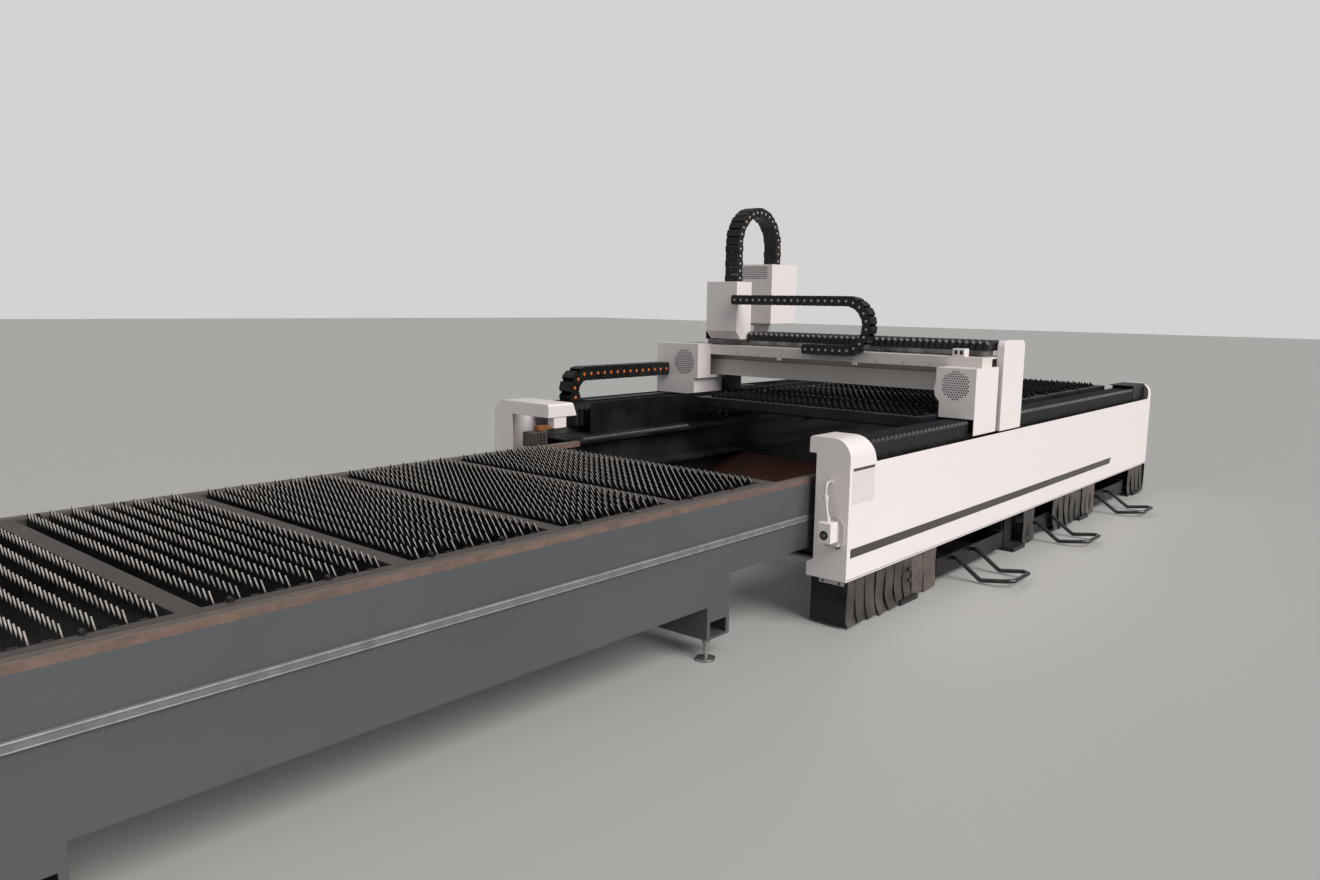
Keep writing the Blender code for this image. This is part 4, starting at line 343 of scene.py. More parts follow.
def round_edges(piece, width, segments=2, limit=30):
    """A small radius on every sharp edge."""
    rounding = piece.modifiers.new("edges", "BEVEL")
    rounding.width = width
    rounding.segments = segments
    rounding.limit_method = "ANGLE"
    rounding.angle_limit = math.radians(limit)
    rounding.use_clamp_overlap = True
    rounding.harden_normals = True
    return rounding


def dressed(node, material, edge=0.0015, smooth=38, keep=None):
    """A copy of a solid with rounded edges, which replaces it. keep picks its vertices."""
    shape = bmesh.new()
    shape.from_mesh(nodes[node].data)
    bmesh.ops.remove_doubles(shape, verts=shape.verts, dist=0.00002)
    if keep is not None:
        gone = [point for point in shape.verts if not keep(point.co - datum)]
        bmesh.ops.delete(shape, geom=gone, context="VERTS")
    flat = math.radians(1.0)
    bmesh.ops.dissolve_limit(shape, angle_limit=flat, verts=shape.verts, edges=shape.edges)
    mesh = bpy.data.meshes.new(node + "_finish")
    shape.to_mesh(mesh)
    shape.free()
    mesh.materials.append(material)
    piece = bpy.data.objects.new(node + "_finish", mesh)
    bpy.context.scene.collection.objects.link(piece)
    mesh.shade_smooth()
    mesh.set_sharp_from_angle(angle=math.radians(smooth))
    if edge:
        round_edges(piece, edge)
    return place_piece(piece, nodes[node]["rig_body"], (node,))


for node in ("bed_side_near", "bed_side_far", "bed_beam_front", "bed_beam_rear", "inner_guard",
             "chain_tray", "pallet_track_near", "pallet_track_far", "gantry_slider_near",
             "gantry_slider_far"):
    dressed(node, black)
for node in ("guide_rail_near", "guide_rail_far", "gear_rack_near", "gear_rack_far", "beam_rail",
             "foot_1", "foot_2", "foot_3", "foot_4"):
    dressed(node, steel, edge=0.001)
for node in ("table_end", "table_cross_beam"):
    dressed(node, slate, edge=0.002)
dressed("slag_baffle", brown)
dressed("drive_chain", steel, edge=0.0008)
dressed("cutting_head", black, edge=0.002)

# %% [markdown]
# The white covers are bent from one sheet: a round hood at each end, a straight panel between them
# and a folded edge at the bottom. The solid already has that form, so it is dressed with a slightly
# larger radius.

# %% White covers
for node in ("cover_near", "cover_far"):
    dressed(node, white, edge=0.0016, smooth=30)
for node in ("gantry_end_near", "gantry_end_far"):
    dressed(node, white, edge=0.0018, smooth=30)
dressed("gantry_plate_near", white, edge=0.004, smooth=30)
dressed("carriage_cover", white, edge=0.003, smooth=30)
dressed("head_cover", white, edge=0.003, smooth=30)

# %% [markdown]
# Small parts are built in the datum frame and moved once, so their numbers can be read off the
# machine. Boxes between two corners, short discs and outlines pulled through a depth are enough for
# most, and a piece of only boxes or only discs is written as a plain list.

# %% Small part helpers
def add_box(shape, low, high):
    """A box between two corners."""
    made = bmesh.ops.create_cube(shape, size=1.0)
    for point in made["verts"]:
        point.co = [end if side > 0 else start for side, start, end in zip(point.co, low, high)]
    return made["verts"]


def add_disc(shape, centre, axis, radius, length, sides=20):
    """A short cylinder round a centre, along X, Y or Z."""
    made = bmesh.ops.create_cone(
        shape, cap_ends=True, segments=sides, radius1=radius, radius2=radius, depth=length
    )
    turns = {
        "X": Matrix.Rotation(math.pi / 2, 4, "Y"),
        "Y": Matrix.Rotation(math.pi / 2, 4, "X"),
        "Z": Matrix.Identity(4),
    }
    bmesh.ops.transform(
        shape, matrix=Matrix.Translation(Vector(centre)) @ turns[axis], verts=made["verts"]
    )
    return made["verts"]


def add_outline(shape, points, lift):
    """A flat outline pulled through a depth. points are corners, lift is the way across."""
    base = [shape.verts.new(Vector(point)) for point in points]
    top = [shape.verts.new(Vector(point) + Vector(lift)) for point in points]
    shape.faces.new(base)
    shape.faces.new(top[::-1])
    for index in range(len(points)):
        after = (index + 1) % len(points)
        shape.faces.new((base[index], base[after], top[after], top[index]))


def settle(name, shape, material, body, edge=0.0, smooth=38, stands_for=()):
    """Make an object of a shape in the datum frame and hang it on its body."""
    bmesh.ops.recalc_face_normals(shape, faces=shape.faces)
    bmesh.ops.translate(shape, vec=datum, verts=shape.verts)
    mesh = bpy.data.meshes.new(name)
    shape.to_mesh(mesh)
    shape.free()
    mesh.materials.append(material)
    piece = bpy.data.objects.new(name, mesh)
    bpy.context.scene.collection.objects.link(piece)
    mesh.shade_smooth()
    mesh.set_sharp_from_angle(angle=math.radians(smooth))
    if edge:
        round_edges(piece, edge)
    return place_piece(piece, body, stands_for)


def box_piece(name, boxes, material, body, edge=0.0, stands_for=()):
    """A piece made of boxes, each given by its two corners."""
    shape = bmesh.new()
    for low, high in boxes:
        add_box(shape, low, high)
    return settle(name, shape, material, body, edge, stands_for=stands_for)


def disc_piece(name, discs, axis, material, body, edge=0.0):
    """A piece made of discs along one axis, each given by centre, radius, length and sides."""
    shape = bmesh.new()
    for centre, radius, length, sides in discs:
        add_disc(shape, centre, axis, radius, length, sides)
    return settle(name, shape, material, body, edge)


print("helpers are ready")

# %% [markdown]
# The near cover has a folded lip, a dark stripe along its foot and a bare plate at its end. Stripe
# and plate are thin sheets on the paint, at most two millimetres proud, so they need no cut in the
# cover. A thin dark line of painted shade marks the gap above the lip.

# %% Stripe and plate
stripe_ink = paint(
    "stripe_dark", (0.055, 0.048, 0.045), (0.072, 0.064, 0.060),
    share=0.6, patch=3.0, grain=300, bump=0.02, rough=0.4,
)
plate_grey = paint(
    "plate_pale", (0.75, 0.70, 0.69), (0.71, 0.66, 0.65),
    share=0.5, patch=12.0, grain=900, bump=0.0, rough=0.3,
)
stripe_face = -0.0006
stripe_thick = 0.0004
stripe_low = 0.336
stripe_high = 0.379
stripe_start = 0.030
stripe_foot_end = 3.905
stripe_tip_end = 3.935
box_piece("cover_lip", [((0.006, 0.004, 0.2265), (4.900, 0.0485, 0.2295))], white, "bed")
stripe = bmesh.new()
add_outline(
    stripe,
    [(stripe_start, stripe_face, stripe_low), (stripe_foot_end, stripe_face, stripe_low),
     (stripe_tip_end, stripe_face, stripe_high), (stripe_start, stripe_face, stripe_high)],
    (0, stripe_thick, 0),
)
settle("cover_stripe", stripe, stripe_ink, "bed")
for name, low, high, finish in (
    ("bare_plate", (0.026, -0.0016, 0.590), (0.228, -0.0002, 0.760), plate_grey),
    ("bare_plate_band", (0.028, -0.0019, 0.744), (0.226, -0.0015, 0.757), stripe_ink),
    # A thin dark strip on the cover: painted shade for the gap above the lip.
    ("cover_gap_painted_shade", (0.002, -0.0006, 0.2335), (4.904, -0.0001, 0.2360), stripe_ink),
):
    box_piece(name, [(low, high)], finish, "bed")
print("stripe length in m:", round(stripe_tip_end - stripe_start, 3))

# %% [markdown]
# A grey strip closes the foot of the end hood, and two dark screws hold it. From a few steps away
# a screw head is a low round disc, so that is what is built.

# %% Screws on the end strip
screw_face = 0.0012
screw_level = 0.216
screw_radius = 0.0055
screw_height = 0.0025
screw_sides = 14
end_strip = ((0.0022, 0.012, 0.206), (0.0062, 0.145, 0.2258))
box_piece("end_strip", [end_strip], grey, "bed", edge=0.001)
screws = [((screw_face, across, screw_level), screw_radius, screw_height, screw_sides)
          for across in (0.034, 0.122)]
disc_piece("end_screws", screws, "X", black, "bed")
print("end screws:", len(screws))

# %% [markdown]
# The sensor on the end face is a small white box with a dark round lens. It sits on a bent bracket
# in front of a back plate.

# %% Sensor
box_piece("sensor_housing", [((-0.115, 0.022, 0.425), (-0.052, 0.092, 0.520))], white, "bed",
          edge=0.004, stands_for=("sensor_box",))
bracket = bmesh.new()
add_box(bracket, (-0.050, 0.020, 0.398), (-0.046, 0.094, 0.500))
add_box(bracket, (-0.050, 0.030, 0.398), (-0.0005, 0.086, 0.402))
add_outline(
    bracket,
    [(-0.004, 0.018, 0.398), (-0.004, 0.098, 0.398), (-0.004, 0.098, 0.505), (-0.004, 0.074, 0.532),
     (-0.004, 0.050, 0.532), (-0.004, 0.018, 0.495)],
    (0.0035, 0, 0),
)
settle("sensor_bracket", bracket, pale, "bed", edge=0.001)
lens_discs = [((-0.1155, 0.057, 0.462), 0.021, 0.004, 28), ((-0.008, 0.045, 0.391), 0.011, 0.012, 20)]
disc_piece("sensor_lens", lens_discs, "X", gloss_black, "bed", edge=0.001)
glass_disc = ((-0.118, 0.057, 0.462), 0.012, 0.002, 24)
disc_piece("sensor_glass", [glass_disc], "X", steel, "bed", edge=0.0005)
print("sensor lens discs:", len(lens_discs))

# %% [markdown]
# A short lead joins the cover and the top of the sensor. It is a curve object, which stays round at
# any bend, and its points lie on a soft curve through a few places read from the machine.

# %% Sensor lead
def smooth_points(points, steps):
    """Points on a soft curve through the given ones."""
    padded = [points[0]] + list(points) + [points[-1]]
    route = []
    for index in range(1, len(padded) - 2):
        before, start, end, after = (Vector(padded[index + shift]) for shift in (-1, 0, 1, 2))
        for step in range(steps):
            share = step / steps
            place = 2 * start + (end - before) * share
            place += (2 * before - 5 * start + 4 * end - after) * share ** 2
            place += (3 * start - before - 3 * end + after) * share ** 3
            route.append(place / 2)
    route.append(Vector(points[-1]))
    return route


def add_tube(name, points, radius, material, body, stands_for=(), resolution=4):
    """A round tube through points of the datum frame."""
    line = bpy.data.curves.new(name, "CURVE")
    line.dimensions = "3D"
    line.bevel_depth = radius
    line.bevel_resolution = resolution
    line.use_fill_caps = True
    spline = line.splines.new("POLY")
    spline.points.add(len(points) - 1)
    for point, place in zip(spline.points, points):
        point.co = (*(Vector(place) + datum), 1.0)
    spline.use_smooth = True
    line.materials.append(material)
    piece = bpy.data.objects.new(name, line)
    bpy.context.scene.collection.objects.link(piece)
    return place_piece(piece, body, stands_for)


lead_route = [
    (-0.0004, 0.098, 0.690), (-0.022, 0.098, 0.690), (-0.036, 0.098, 0.680), (-0.043, 0.097, 0.660),
    (-0.046, 0.095, 0.636), (-0.050, 0.090, 0.610), (-0.056, 0.084, 0.585), (-0.064, 0.074, 0.560),
    (-0.0735, 0.063, 0.537), (-0.0750, 0.0615, 0.5213),
]
lead_jacket = paint(
    "lead_jacket", (0.66, 0.63, 0.61), (0.58, 0.55, 0.53),
    share=0.5, patch=30.0, grain=400, bump=0.03, rough=0.4,
)
lead_radius = 0.0058
lead_steps = 5
lead = add_tube("lead", smooth_points(lead_route, lead_steps), lead_radius, lead_jacket, "bed",
                ("sensor_lead",))
plug = bmesh.new()
add_disc(plug, (-0.0485, 0.0930, 0.622), "Z", 0.0125, 0.020, 18)
add_disc(plug, (-0.0525, 0.0885, 0.600), "Z", 0.0105, 0.022, 6)
add_disc(plug, (-0.0750, 0.0615, 0.531), "Z", 0.011, 0.020, 18)
add_disc(plug, (-0.003, 0.098, 0.690), "X", 0.012, 0.006, 18)
lead_ends = settle("lead_plug", plug, pale, "bed", edge=0.001)
print("lead points:", len(lead_route))

# %% [markdown]
# The sides of the exchange table are long folded sheets in slate paint. Pallet wheels have worn the
# top rail down to steel and rust, and a welded ridge runs along the middle. The solid has the form,
# so the paint only needs to know the height: each band of height has its own two colours. Two thin
# beads of weld along the ridge are real geometry, because they catch the light.

# %% Exchange table sides
def add_band(material, low, high, colour, shade, rough):
    """Give a painted finish other colours between two heights."""
    tree = material.node_tree
    shader = tree.nodes["Principled BSDF"]
    where = tree.nodes.new("ShaderNodeTexCoord").outputs["Object"]
    split = tree.nodes.new("ShaderNodeSeparateXYZ")
    tree.links.new(where, split.inputs["Vector"])
    rub = node_of(tree, "ShaderNodeTexNoise", Scale=14.0, Detail=8.0, Roughness=0.7)
    tree.links.new(where, rub.inputs["Vector"])
    above = ramp(tree, split.outputs["Z"], low - 0.0006, low)
    under = ramp(tree, split.outputs["Z"], high, high + 0.0006, 1.0, 0.0)
    inside = multiply(tree, above, under)
    mottled = blend_colours(tree, ramp(tree, rub.outputs["Fac"], 0.4, 0.65), colour, shade)
    old = shader.inputs["Base Color"].links[0].from_socket
    shown = blend_colours(tree, inside, old, mottled)
    tree.links.new(shown, shader.inputs["Base Color"])
    old_gloss = shader.inputs["Roughness"].links[0].from_socket
    gloss = tree.nodes.new("ShaderNodeMix")
    tree.links.new(inside, gloss.inputs["Factor"])
    tree.links.new(old_gloss, gloss.inputs[2])
    gloss.inputs[3].default_value = rough
    tree.links.new(gloss.outputs[0], shader.inputs["Roughness"])


table_paint = paint(
    "table_side_paint", (0.076, 0.083, 0.089), (0.094, 0.096, 0.103),
    share=0.7, patch=1.1, grain=300, bump=0.06, rough=0.44, spread=0.10,
)
add_band(table_paint, 0.4885, 0.5170, (0.17, 0.175, 0.175), (0.125, 0.13, 0.13), 0.5)
add_band(table_paint, 0.6660, 0.6905, (0.185, 0.122, 0.097), (0.110, 0.078, 0.064), 0.55)
add_band(table_paint, 0.6910, 0.70, (0.115, 0.100, 0.090), (0.165, 0.120, 0.098), 0.5)
for node in ("table_side_near", "table_side_far"):
    dressed(node, table_paint, edge=0.0015)
bead_start = -3.558
bead_length = 3.535
bead_points = 7
bead_flat_share = 0.8
bead_steel = paint(
    "weld_bead", (0.33, 0.335, 0.33), (0.19, 0.195, 0.19),
    share=0.9, patch=14.0, grain=160, bump=0.3, rough=0.45, spread=0.1, metal=0.2,
)
for side, face in (("near", 0.2084), ("far", 1.8496)):
    outward = -1 if side == "near" else 1
    beads = bmesh.new()
    for level, bulge in ((0.5140, 0.0034), (0.4920, 0.0022)):
        outline = []
        for index in range(bead_points):
            angle = math.radians(-90 + 30 * index)
            outline.append((bead_start, face + outward * bulge * bead_flat_share * math.cos(angle),
                            level + bulge * math.sin(angle)))
        add_outline(beads, outline, (bead_length, 0, 0))
    settle(f"table_weld_{side}", beads, bead_steel, "bed")
print("table sides dressed")

# %% [markdown]
# A pallet is a steel frame with toothed slats that stand on edge, so that the beam has nothing flat
# to burn. Each tooth rises along a slant and drops straight, as a saw blade does. The faces of the
# blades are black, while the narrow cut edges are bare and catch the light, so the finish looks at
# which way a face points.

# %% Slat finish
def slat_finish(name, level, face_colour, edge_colour):
    """Black blades with bare cut edges above a level."""
    material = paint(
        name, face_colour, tuple(value * 2.2 for value in face_colour),
        share=0.8, patch=30.0, grain=200, bump=0.15, rough=0.45, spread=0.1, metal=0.2,
    )
    tree = material.node_tree
    shader = tree.nodes["Principled BSDF"]
    surface = tree.nodes.new("ShaderNodeNewGeometry")
    facing = tree.nodes.new("ShaderNodeSeparateXYZ")
    tree.links.new(surface.outputs["True Normal"], facing.inputs["Vector"])
    sideways = tree.nodes.new("ShaderNodeMath")
    sideways.operation = "ABSOLUTE"
    tree.links.new(facing.outputs["X"], sideways.inputs[0])
    edge = ramp(tree, sideways.outputs[0], 0.5, 0.9, 1.0, 0.0)
    where = tree.nodes.new("ShaderNodeTexCoord").outputs["Object"]
    split = tree.nodes.new("ShaderNodeSeparateXYZ")
    tree.links.new(where, split.inputs["Vector"])
    soot = node_of(tree, "ShaderNodeTexNoise", Scale=9.0, Detail=6.0, Roughness=0.65)
    tree.links.new(where, soot.inputs["Vector"])
    height = ramp(tree, split.outputs["Z"], level - 0.012, level + 0.006)
    bare = multiply(tree, edge, height)
    worn_edge = blend_colours(tree, ramp(tree, soot.outputs["Fac"], 0.45, 0.7, 0.0, 0.6), edge_colour,
                              tuple(value * 0.4 for value in edge_colour))
    old = shader.inputs["Base Color"].links[0].from_socket
    tree.links.new(blend_colours(tree, bare, old, worn_edge), shader.inputs["Base Color"])
    return material


slats_a = slat_finish("slat_finish_a", 0.698, (0.0040, 0.0040, 0.0040), (0.37, 0.34, 0.315))
# Pallet B gets a much darker copy of the slat finish, faces and edges alike: painted shade, as its slats
# stand in less light than pallet A's.
slats_b = slat_finish("slat_finish_b_painted_shade", 0.887, (0.0022, 0.0024, 0.0026), (0.050, 0.048, 0.046))
print("slat finishes:", slats_a.name, slats_b.name)

# %% [markdown]
# Each pallet has five bays with the same number of slats. One outline per slat holds its plain foot
# and its whole row of teeth, and is pulled through the sheet's thickness. Small seeded changes in
# height keep the rows from looking printed. A tie bar along the middle holds the slats together.

# %% Slats
bay_count = 5
slats_per_bay = 8
bay_length = 0.646
frame_bar = 0.033
pallet_middle = 1.029
pallet_a_start = -3.509
pallet_a_top = 0.693
pallet_b_start = 1.157
pallet_b_top = 0.882
slat_thick = 0.0042
slat_height = 0.110
tooth_height = 0.030
tooth_shares = (0.12, 0.78, 0.88, 0.96)
tooth_margin = 0.008


def slat_set(name, node, near, start, top, teeth, material, body):
    """Every slat of one pallet, each with its own row of teeth."""
    shape = bmesh.new()
    chance = random.Random(name)
    far = 2 * pallet_middle - near
    pitch_along = bay_length / (slats_per_bay + 1)
    pitch = (far - near - 2 * tooth_margin) / teeth
    tip = top + tooth_height
    foot = tip - slat_height
    shoulder = top - 0.006
    for bay in range(bay_count):
        for row in range(slats_per_bay):
            middle = start + frame_bar + bay * bay_length + (row + 1) * pitch_along
            points = [(middle, far, foot), (middle, near, foot), (middle, near, shoulder)]
            for tooth in range(teeth):
                left = near + tooth_margin + tooth * pitch
                low = tip - 0.031 + chance.uniform(-0.0012, 0.0012)
                high = tip - chance.uniform(0.0004, 0.0040)
                for share, level in zip(tooth_shares, (low, high, high - 0.001, low)):
                    points.append((middle, left + pitch * share, level))
            points.append((middle, far, shoulder))
            add_outline(shape, [(x - slat_thick / 2, y, z) for x, y, z in points], (slat_thick, 0, 0))
    add_box(shape, (start + 0.066, 1.023, top - 0.092), (start + 3.230, 1.035, top - 0.0553))
    return settle(name, shape, material, body, stands_for=(node,), smooth=20)


slat_set("slats_a", "pallet_a_slats", 0.3038, pallet_a_start, pallet_a_top, 40, slats_a, "pallet_a")
slat_set("slats_b", "pallet_b_slats", 0.2753, pallet_b_start, pallet_b_top, 34, slats_b, "pallet_b")
print("slats in each pallet:", bay_count * slats_per_bay)

# %% [markdown]
# The frames keep the form of their solids. Along both long sides small dark pegs hold the slat
# ends, and a larger black knob sits at every fourth slat.

# %% Pallet frames
def frame_details(name, start, top, near, material, body):
    """Slot pegs and knobs along both long sides."""
    shape = bmesh.new()
    far = 2 * pallet_middle - near
    for bay in range(bay_count):
        for row in range(1, slats_per_bay):
            middle = start + frame_bar + bay * bay_length + (row + 0.5) * bay_length / (slats_per_bay + 1)
            for edge, way in ((near + 0.040, 1), (far - 0.040, -1)):
                inner = sorted((edge + way * 0.0006, edge + way * 0.0065))
                low = (middle - 0.012, inner[0], top - 0.030)
                add_box(shape, low, (middle + 0.012, inner[1], top + 0.003))
                if row % 4 == 1:
                    add_disc(shape, (middle, edge - way * 0.006, top + 0.006), "Y", 0.0085, 0.018, 14)
    return settle(name, shape, material, body, edge=0.0006)


dressed("pallet_a_frame", worn, edge=0.002)
dressed("pallet_b_frame", night, edge=0.002)
frame_details("pallet_a_pegs", pallet_a_start, pallet_a_top, 0.2635, black, "pallet_a")
frame_details("pallet_b_pegs", pallet_b_start, pallet_b_top, 0.235, black, "pallet_b")
print("pegs and knobs set")

# %% [markdown]
# Cable chains are strings of moulded links on a path of two straight runs and one arc. The path
# comes first: fine points along it, and the place and direction at any distance.

# %% Path of a chain
arc_steps = 60


def bend_points(first, centre, radius, angle_from, angle_to, last, steps=arc_steps):
    """A straight run, an arc and a second straight run, as fine points."""
    points = [first]
    for index in range(steps + 1):
        angle = math.radians(angle_from + (angle_to - angle_from) * index / steps)
        points.append((centre[0] + radius * math.cos(angle), centre[1] + radius * math.sin(angle)))
    points.append(last)
    return [Vector(point) for point in points]


def walk(points, distance):
    """The place and direction at a distance along a path."""
    for first, second in zip(points, points[1:]):
        span = (second - first).length
        if distance <= span or second is points[-1]:
            along = (second - first).normalized()
            return first + along * min(distance, span), along
        distance -= span


print("points on an arc:", arc_steps + 1)

# %% [markdown]
# Each link has two side plates with round ends, two cross bars and a hinge pin in each side. Inner
# and outer links take turns, so their plates lie side by side as on the real chain.

# %% Links of a chain
link_wall = 0.006
link_shrink_share = 0.55
link_nose_share = 0.60
link_round_share = 0.42
bar_share = 0.47
bar_thick = 0.003
pin_share = 0.115
pin_thick = 0.002
pin_sides = 14
end_steps = 6


def chain_links(name, points, pitch, tall, width, side_low, to_frame, finish_set, node):
    """A cable chain as links along a path, and its pins as a second piece."""
    total = sum((second - first).length for first, second in zip(points, points[1:]))
    count = round(total / pitch)
    step = total / count
    links = bmesh.new()
    pins = bmesh.new()
    wall = link_wall
    half = tall / 2
    nose = step * link_nose_share
    rounding = half * link_round_share
    origin = Vector(to_frame(0.0, 0.0, 0.0))
    pin_lift = Vector(to_frame(0.0, 0.0, pin_thick)) - origin
    for number in range(count):
        place, along = walk(points, (number + 0.5) * step)
        across = Vector((-along.y, along.x))
        outer = number % 2 == 0
        inset = 0.0 if outer else wall * link_shrink_share

        def at(run, rise, side):
            spot = place + along * run + across * rise
            return Vector(to_frame(spot.x, spot.y, side))

        for low in (side_low + inset, side_low + width - inset - wall / 2):
            outline = []
            for middle, first_angle in ((nose - rounding, -90), (-nose + rounding, 90)):
                for index in range(end_steps + 1):
                    angle = math.radians(first_angle + 180 * index / end_steps)
                    outline.append((middle + rounding * math.cos(angle), half * math.sin(angle)))
            base = [links.verts.new(at(run, rise, low)) for run, rise in outline]
            top = [links.verts.new(at(run, rise, low + wall / 2)) for run, rise in outline]
            links.faces.new(base)
            links.faces.new(top[::-1])
            for index in range(len(outline)):
                after = (index + 1) % len(outline)
                links.faces.new((base[index], base[after], top[after], top[index]))
        reach = step * bar_share
        bar_sides = (side_low + wall, side_low + width - wall)
        for rise in (half - 0.004, -half + 0.001):
            corners = [at(-reach, rise, bar_sides[0]), at(reach, rise, bar_sides[0]),
                       at(reach, rise, bar_sides[1]), at(-reach, rise, bar_sides[1])]
            add_outline(links, corners, Vector(to_frame(*(across * bar_thick), 0.0)) - origin)
        angles = [2 * math.pi * index / pin_sides for index in range(pin_sides)]
        for side in (side_low - 0.0010, side_low + width - 0.0010):
            ring = [at(math.cos(angle) * tall * pin_share, math.sin(angle) * tall * pin_share, side)
                    for angle in angles]
            add_outline(pins, ring, pin_lift)
    link_piece = settle(name, links, finish_set[0], None, stands_for=(node,))
    pin_piece = settle(name + "_pins", pins, finish_set[1], None)
    for piece in (link_piece, pin_piece):
        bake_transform(piece)
    return count


orange = paint(
    "pin_orange", (0.62, 0.17, 0.035), (0.50, 0.13, 0.03),
    share=0.5, patch=40.0, grain=300, bump=0.03, rough=0.4,
)
blush = paint(
    "pin_blush", (0.62, 0.47, 0.42), (0.52, 0.38, 0.33),
    share=0.5, patch=40.0, grain=300, bump=0.03, rough=0.4,
)
print("pin finishes:", orange.name, blush.name)

# %% [markdown]
# Three chains use these links: a wide one on its tray along the bed, one in front of the beam and
# the arch above the head. All of them bend in an upright plane. The first two bend between a lower
# and an upper run, and the arch bends at its top.

# %% Set the chains
tray_floor = 0.770
tray_sheet = 0.004
tray_gap = 0.0003
chain_half = 0.045
bed_bend = 0.108
bend_z = tray_floor + tray_sheet + tray_gap + chain_half + bed_bend
bed_path = bend_points((1.3767, bend_z + bed_bend), (0.560, bend_z), bed_bend, 90, 270,
                       (2.450, bend_z - bed_bend))
beam_path = bend_points((1.7647, 1.5183), (0.900, 1.3663), 0.152, 90, 270, (1.200, 1.2143))
head_path = bend_points((1.578, 1.6403), (1.8055, 1.890), 0.2275, 180, 0, (2.033, 1.7703))
made = [
    chain_links(
        "chain_along_bed", bed_path, pitch=0.062, tall=0.088, width=0.100, side_low=2.245,
        to_frame=lambda a, b, side: (a, side, b), finish_set=(plastic, orange),
        node="cable_chain_x",
    ),
    chain_links(
        "chain_along_beam", beam_path, pitch=0.050, tall=0.063, width=0.080, side_low=1.4397,
        to_frame=lambda a, b, side: (side, a, b), finish_set=(plastic, blush),
        node="cable_chain_y",
    ),
    chain_links(
        "chain_to_head", head_path, pitch=0.050, tall=0.063, width=0.105, side_low=1.800,
        to_frame=lambda a, b, side: (a, side, b), finish_set=(plastic, blush),
        node="cable_chain_z",
    ),
]
print("links:", made)

# %% [markdown]
# The guide rails hide under folded covers, which close up ahead of the gantry and open behind it.
# A fold is a ridge and a valley of coated cloth with a stiff rim, and its section is an arch over
# the rail. Rings of that section, large and small by turns, make the folds.

# %% Folded cover
fold_profile = ((0.04, 0.016), (0.34, 0.002), (0.42, 0.0), (0.58, 0.0), (0.66, 0.002), (0.96, 0.016))
fold_side_share = 0.6
fold_corner = 0.012
fewest_folds = 4


def folded_cover(name, node, plane, start, end, low, high, base, top, pitch, material):
    """Rings of an arch section along X or Y, alternately full and drawn in."""
    shape = bmesh.new()
    count = max(fewest_folds, round((end - start) / pitch))
    step = (end - start) / count
    rings = []
    for index in range(count):
        left = start + index * step
        rings += [(left + step * share, inset) for share, inset in fold_profile]
    loops = []
    corner = fold_corner
    for along, inset in rings:
        wide = (low + inset * fold_side_share, high - inset * fold_side_share)
        lid = top - inset
        outline = [(wide[0], base), (wide[0], lid - corner), (wide[0] + corner, lid),
                   (wide[1] - corner, lid), (wide[1], lid - corner), (wide[1], base)]
        loop = []
        for across, up in outline:
            place = (along, across, up) if plane == "X" else (across, along, up)
            loop.append(shape.verts.new(place))
        loops.append(loop)
    for first, second in zip(loops, loops[1:]):
        for index in range(len(first) - 1):
            shape.faces.new((first[index], first[index + 1], second[index + 1], second[index]))
    shape.faces.new(loops[0])
    shape.faces.new(loops[-1][::-1])
    piece = settle(name, shape, material, None, smooth=25, stands_for=(node,))
    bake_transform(piece)
    return count


print("rings in a fold:", len(fold_profile))

# %% [markdown]
# Two covers lie on each guide rail, one on each side of the gantry, and two on the beam, one on each
# side of the carriage. The table below holds their ends, the pitch of their folds and the two bodies
# that each one joins.

# %% Set the folded covers
rail_cover_width = 0.156
rail_cover_base = 0.745
rail_cover_top = 0.862
beam_cover_low = 1.620
beam_cover_high = 1.810
beam_cover_base = 1.2443
beam_cover_top = 1.305
folds = []
for side, low in (("near", 0.048), ("far", 2.023)):
    for part, start, end, pitch, pair in (("front", 0.2483, 1.7297, 0.046, ("bed", "gantry")),
                                          ("rear", 1.9903, 4.830, 0.050, ("gantry", "bed"))):
        folds.append(folded_cover(f"folds_{side}_{part}", f"rail_bellows_{side}_{part}", "X", start, end,
                                  low, low + rail_cover_width, rail_cover_base, rail_cover_top, pitch,
                                  cloth))
for part, start, end, pitch, pair in (("near", 0.060, 1.7647, 0.042, ("gantry", "carriage")),
                                      ("far", 2.0353, 2.120, 0.012, ("carriage", "gantry"))):
    folds.append(folded_cover(f"folds_beam_{part}", f"beam_bellows_{part}", "Y", start, end,
                              beam_cover_low, beam_cover_high, beam_cover_base, beam_cover_top, pitch,
                              cloth))
print("folds:", folds)

# %% [markdown]
# Rubber strips hang below the near cover and keep the light of the cut inside. Each strip is turned
# a little, so its left edge stands proud of its neighbour and a dark slit shows between them, and
# its foot curls outward. A strip is a thin grid, front and back, whose points follow that turn and
# curl.

# %% One rubber strip
strip_rows = 14
strip_columns = 5
strip_overlap = 0.012
strip_stand = 0.0035
strip_thick = 0.0022
strip_belly = 0.0025
turn_centre_share = 0.62
curl_start_share = 0.62
curl_length_share = 0.38


def strip_points(shape, plane, along, out, height):
    """The front and the back point of a strip at one place."""
    spots = []
    for away in (out, out + strip_thick):
        spots.append((along, away, height) if plane == "X" else (away, along, height))
    return [shape.verts.new(spot) for spot in spots]


